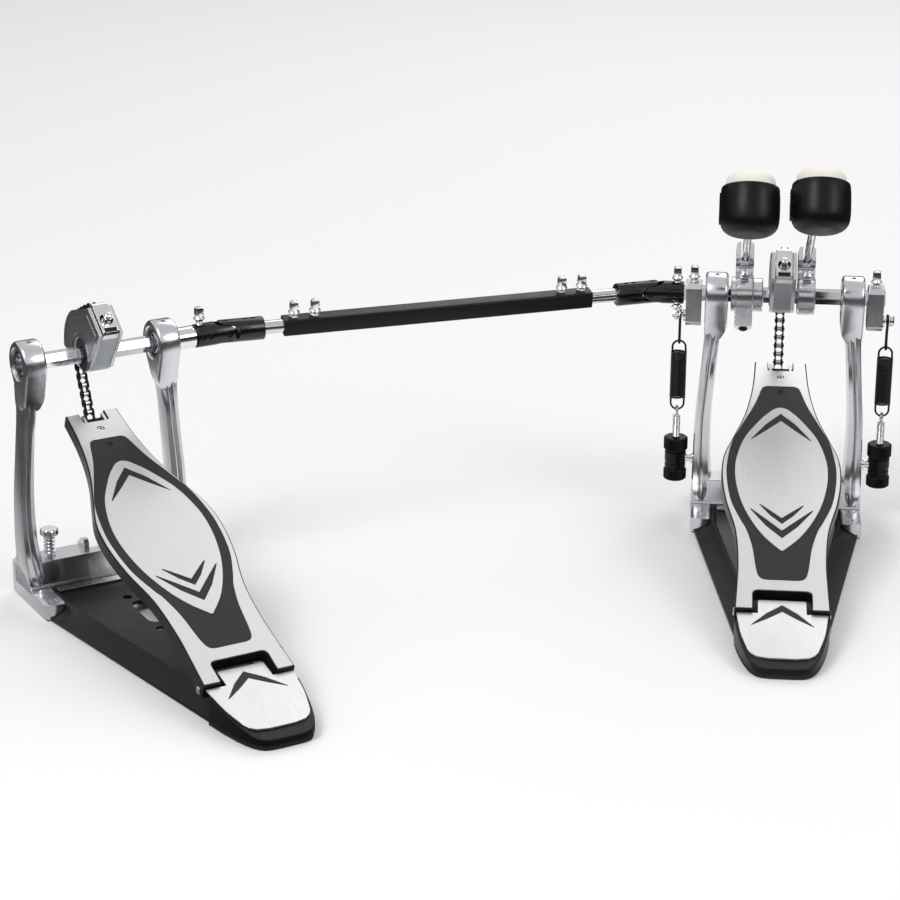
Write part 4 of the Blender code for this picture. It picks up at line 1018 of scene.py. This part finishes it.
def darken_reflections(white):
    """Let the metal mirror a floor that falls off to dark away from the pedals, as under studio flags."""
    tree, links = white.node_tree, white.node_tree.links
    where = add_node(tree, "TexCoord").outputs["Object"]
    mapping = add_node(tree, "Mapping", Vector=where, Location=(-0.18, 0.0, 0), Scale=(0.7, 0.48, 1))
    mapping.vector_type = "TEXTURE"
    fall = add_node(tree, "TexGradient", Vector=mapping.outputs["Vector"])
    fall.gradient_type = "SPHERICAL"
    far = add_node(tree, "MapRange", Value=fall.outputs["Fac"], From_Max=0.45, To_Min=0.95, To_Max=0.0)
    amount = add_node(tree, "Math")
    amount.operation = "MULTIPLY"
    links.new(add_node(tree, "LightPath").outputs["Is Glossy Ray"], amount.inputs[0])
    links.new(far.outputs["Result"], amount.inputs[1])
    dark = add_node(tree, "BsdfDiffuse", Color=(0.03, 0.03, 0.03, 1))
    blend = add_node(tree, "MixShader", Fac=amount.outputs["Value"])
    links.new(tree.nodes["Principled BSDF"].outputs["BSDF"], blend.inputs[1])
    links.new(dark.outputs["BSDF"], blend.inputs[2])
    links.new(blend.outputs["Shader"], tree.nodes["Material Output"].inputs["Surface"])


def stage():
    floor_mesh = bpy.data.meshes.new("floor")
    corners = [(x * FLOOR_REACH, y * FLOOR_REACH, 0) for x, y in ((-1, -1), (1, -1), (1, 1), (-1, 1))]
    floor_mesh.from_pydata(corners, [], [(0, 1, 2, 3)])
    floor = new_object("floor", floor_mesh)
    white = surface("floor_white", (0.93, 0.93, 0.93), 0.0, 0.7, 0.02, tint=0.005)
    darken_reflections(white)
    floor_mesh.materials.append(white)
    world = bpy.data.worlds.new("studio")
    bpy.context.scene.world = world
    world.use_nodes = True
    tree = world.node_tree
    split = add_node(tree, "SeparateXYZ", Vector=add_node(tree, "TexCoord").outputs["Generated"])
    height = add_node(tree, "MapRange", Value=split.outputs["Z"], From_Min=-1.0)
    ramp = add_node(tree, "ValToRGB", Fac=height.outputs["Result"])
    stops = ramp.color_ramp.elements
    stops[0].position, stops[0].color = 0.50, (0.04, 0.04, 0.045, 1)
    stops[1].position, stops[1].color = 1.0, (1.0, 1.0, 1.0, 1)
    for position, level in ((0.61, 0.02), (0.66, 1.25), (0.8, 1.0)):
        stops.new(position).color = (level, level, level, 1)
    background = tree.nodes["Background"].inputs
    tree.links.new(ramp.outputs["Color"], background["Color"])
    background["Strength"].default_value = 0.62
    for name, place, size, power in (("key", (-1.4, -1.6, 2.2), 1.1, 30),
            ("fill", (1.8, -1.2, 1.6), 1.0, 13), ("back", (0.2, 1.8, 1.8), 1.6, 13)):
        lamp = bpy.data.lights.new(name, "AREA")
        lamp.shape, lamp.size, lamp.energy = "SQUARE", size, power
        holder = new_object(name, lamp)
        holder.location = place
        holder.rotation_euler = (LIT_POINT - Vector(place)).to_track_quat("-Z", "Y").to_euler()


def camera():
    lens = bpy.data.cameras.new("camera")
    lens.lens, lens.sensor_width = 108.5, 36.0
    lens.shift_x, lens.shift_y = 0.0404, -0.0127
    holder = new_object("camera", lens)
    pitch = math.radians(20.22)
    look = Vector((-0.1045 * math.cos(pitch), 0.9945 * math.cos(pitch), -math.sin(pitch)))
    holder.location = (-0.0730, -1.9562, 0.7745)
    holder.rotation_euler = look.to_track_quat("-Z", "Y").to_euler()
    bpy.context.scene.camera = holder


def main():
    for pedal in PLACES:
        base_and_stand(pedal)
        footboard(pedal)
        cam(pedal)
        chain(pedal)
    axles()
    hub("left", LEFT_HUB, "left_rocker", True)
    hub("right", RIGHT_HUB, "main_rocker", False)
    beater("left", LEFT_HUB, "left_beater")
    beater("right", RIGHT_HUB, "right_beater")
    for side in SIDES:
        crank(side)
        spring(side)
        adjuster(side)
    drive()
    clamp_and_anchor()
    stage()
    camera()
    bpy.context.scene.view_settings.view_transform = "Standard"


main()
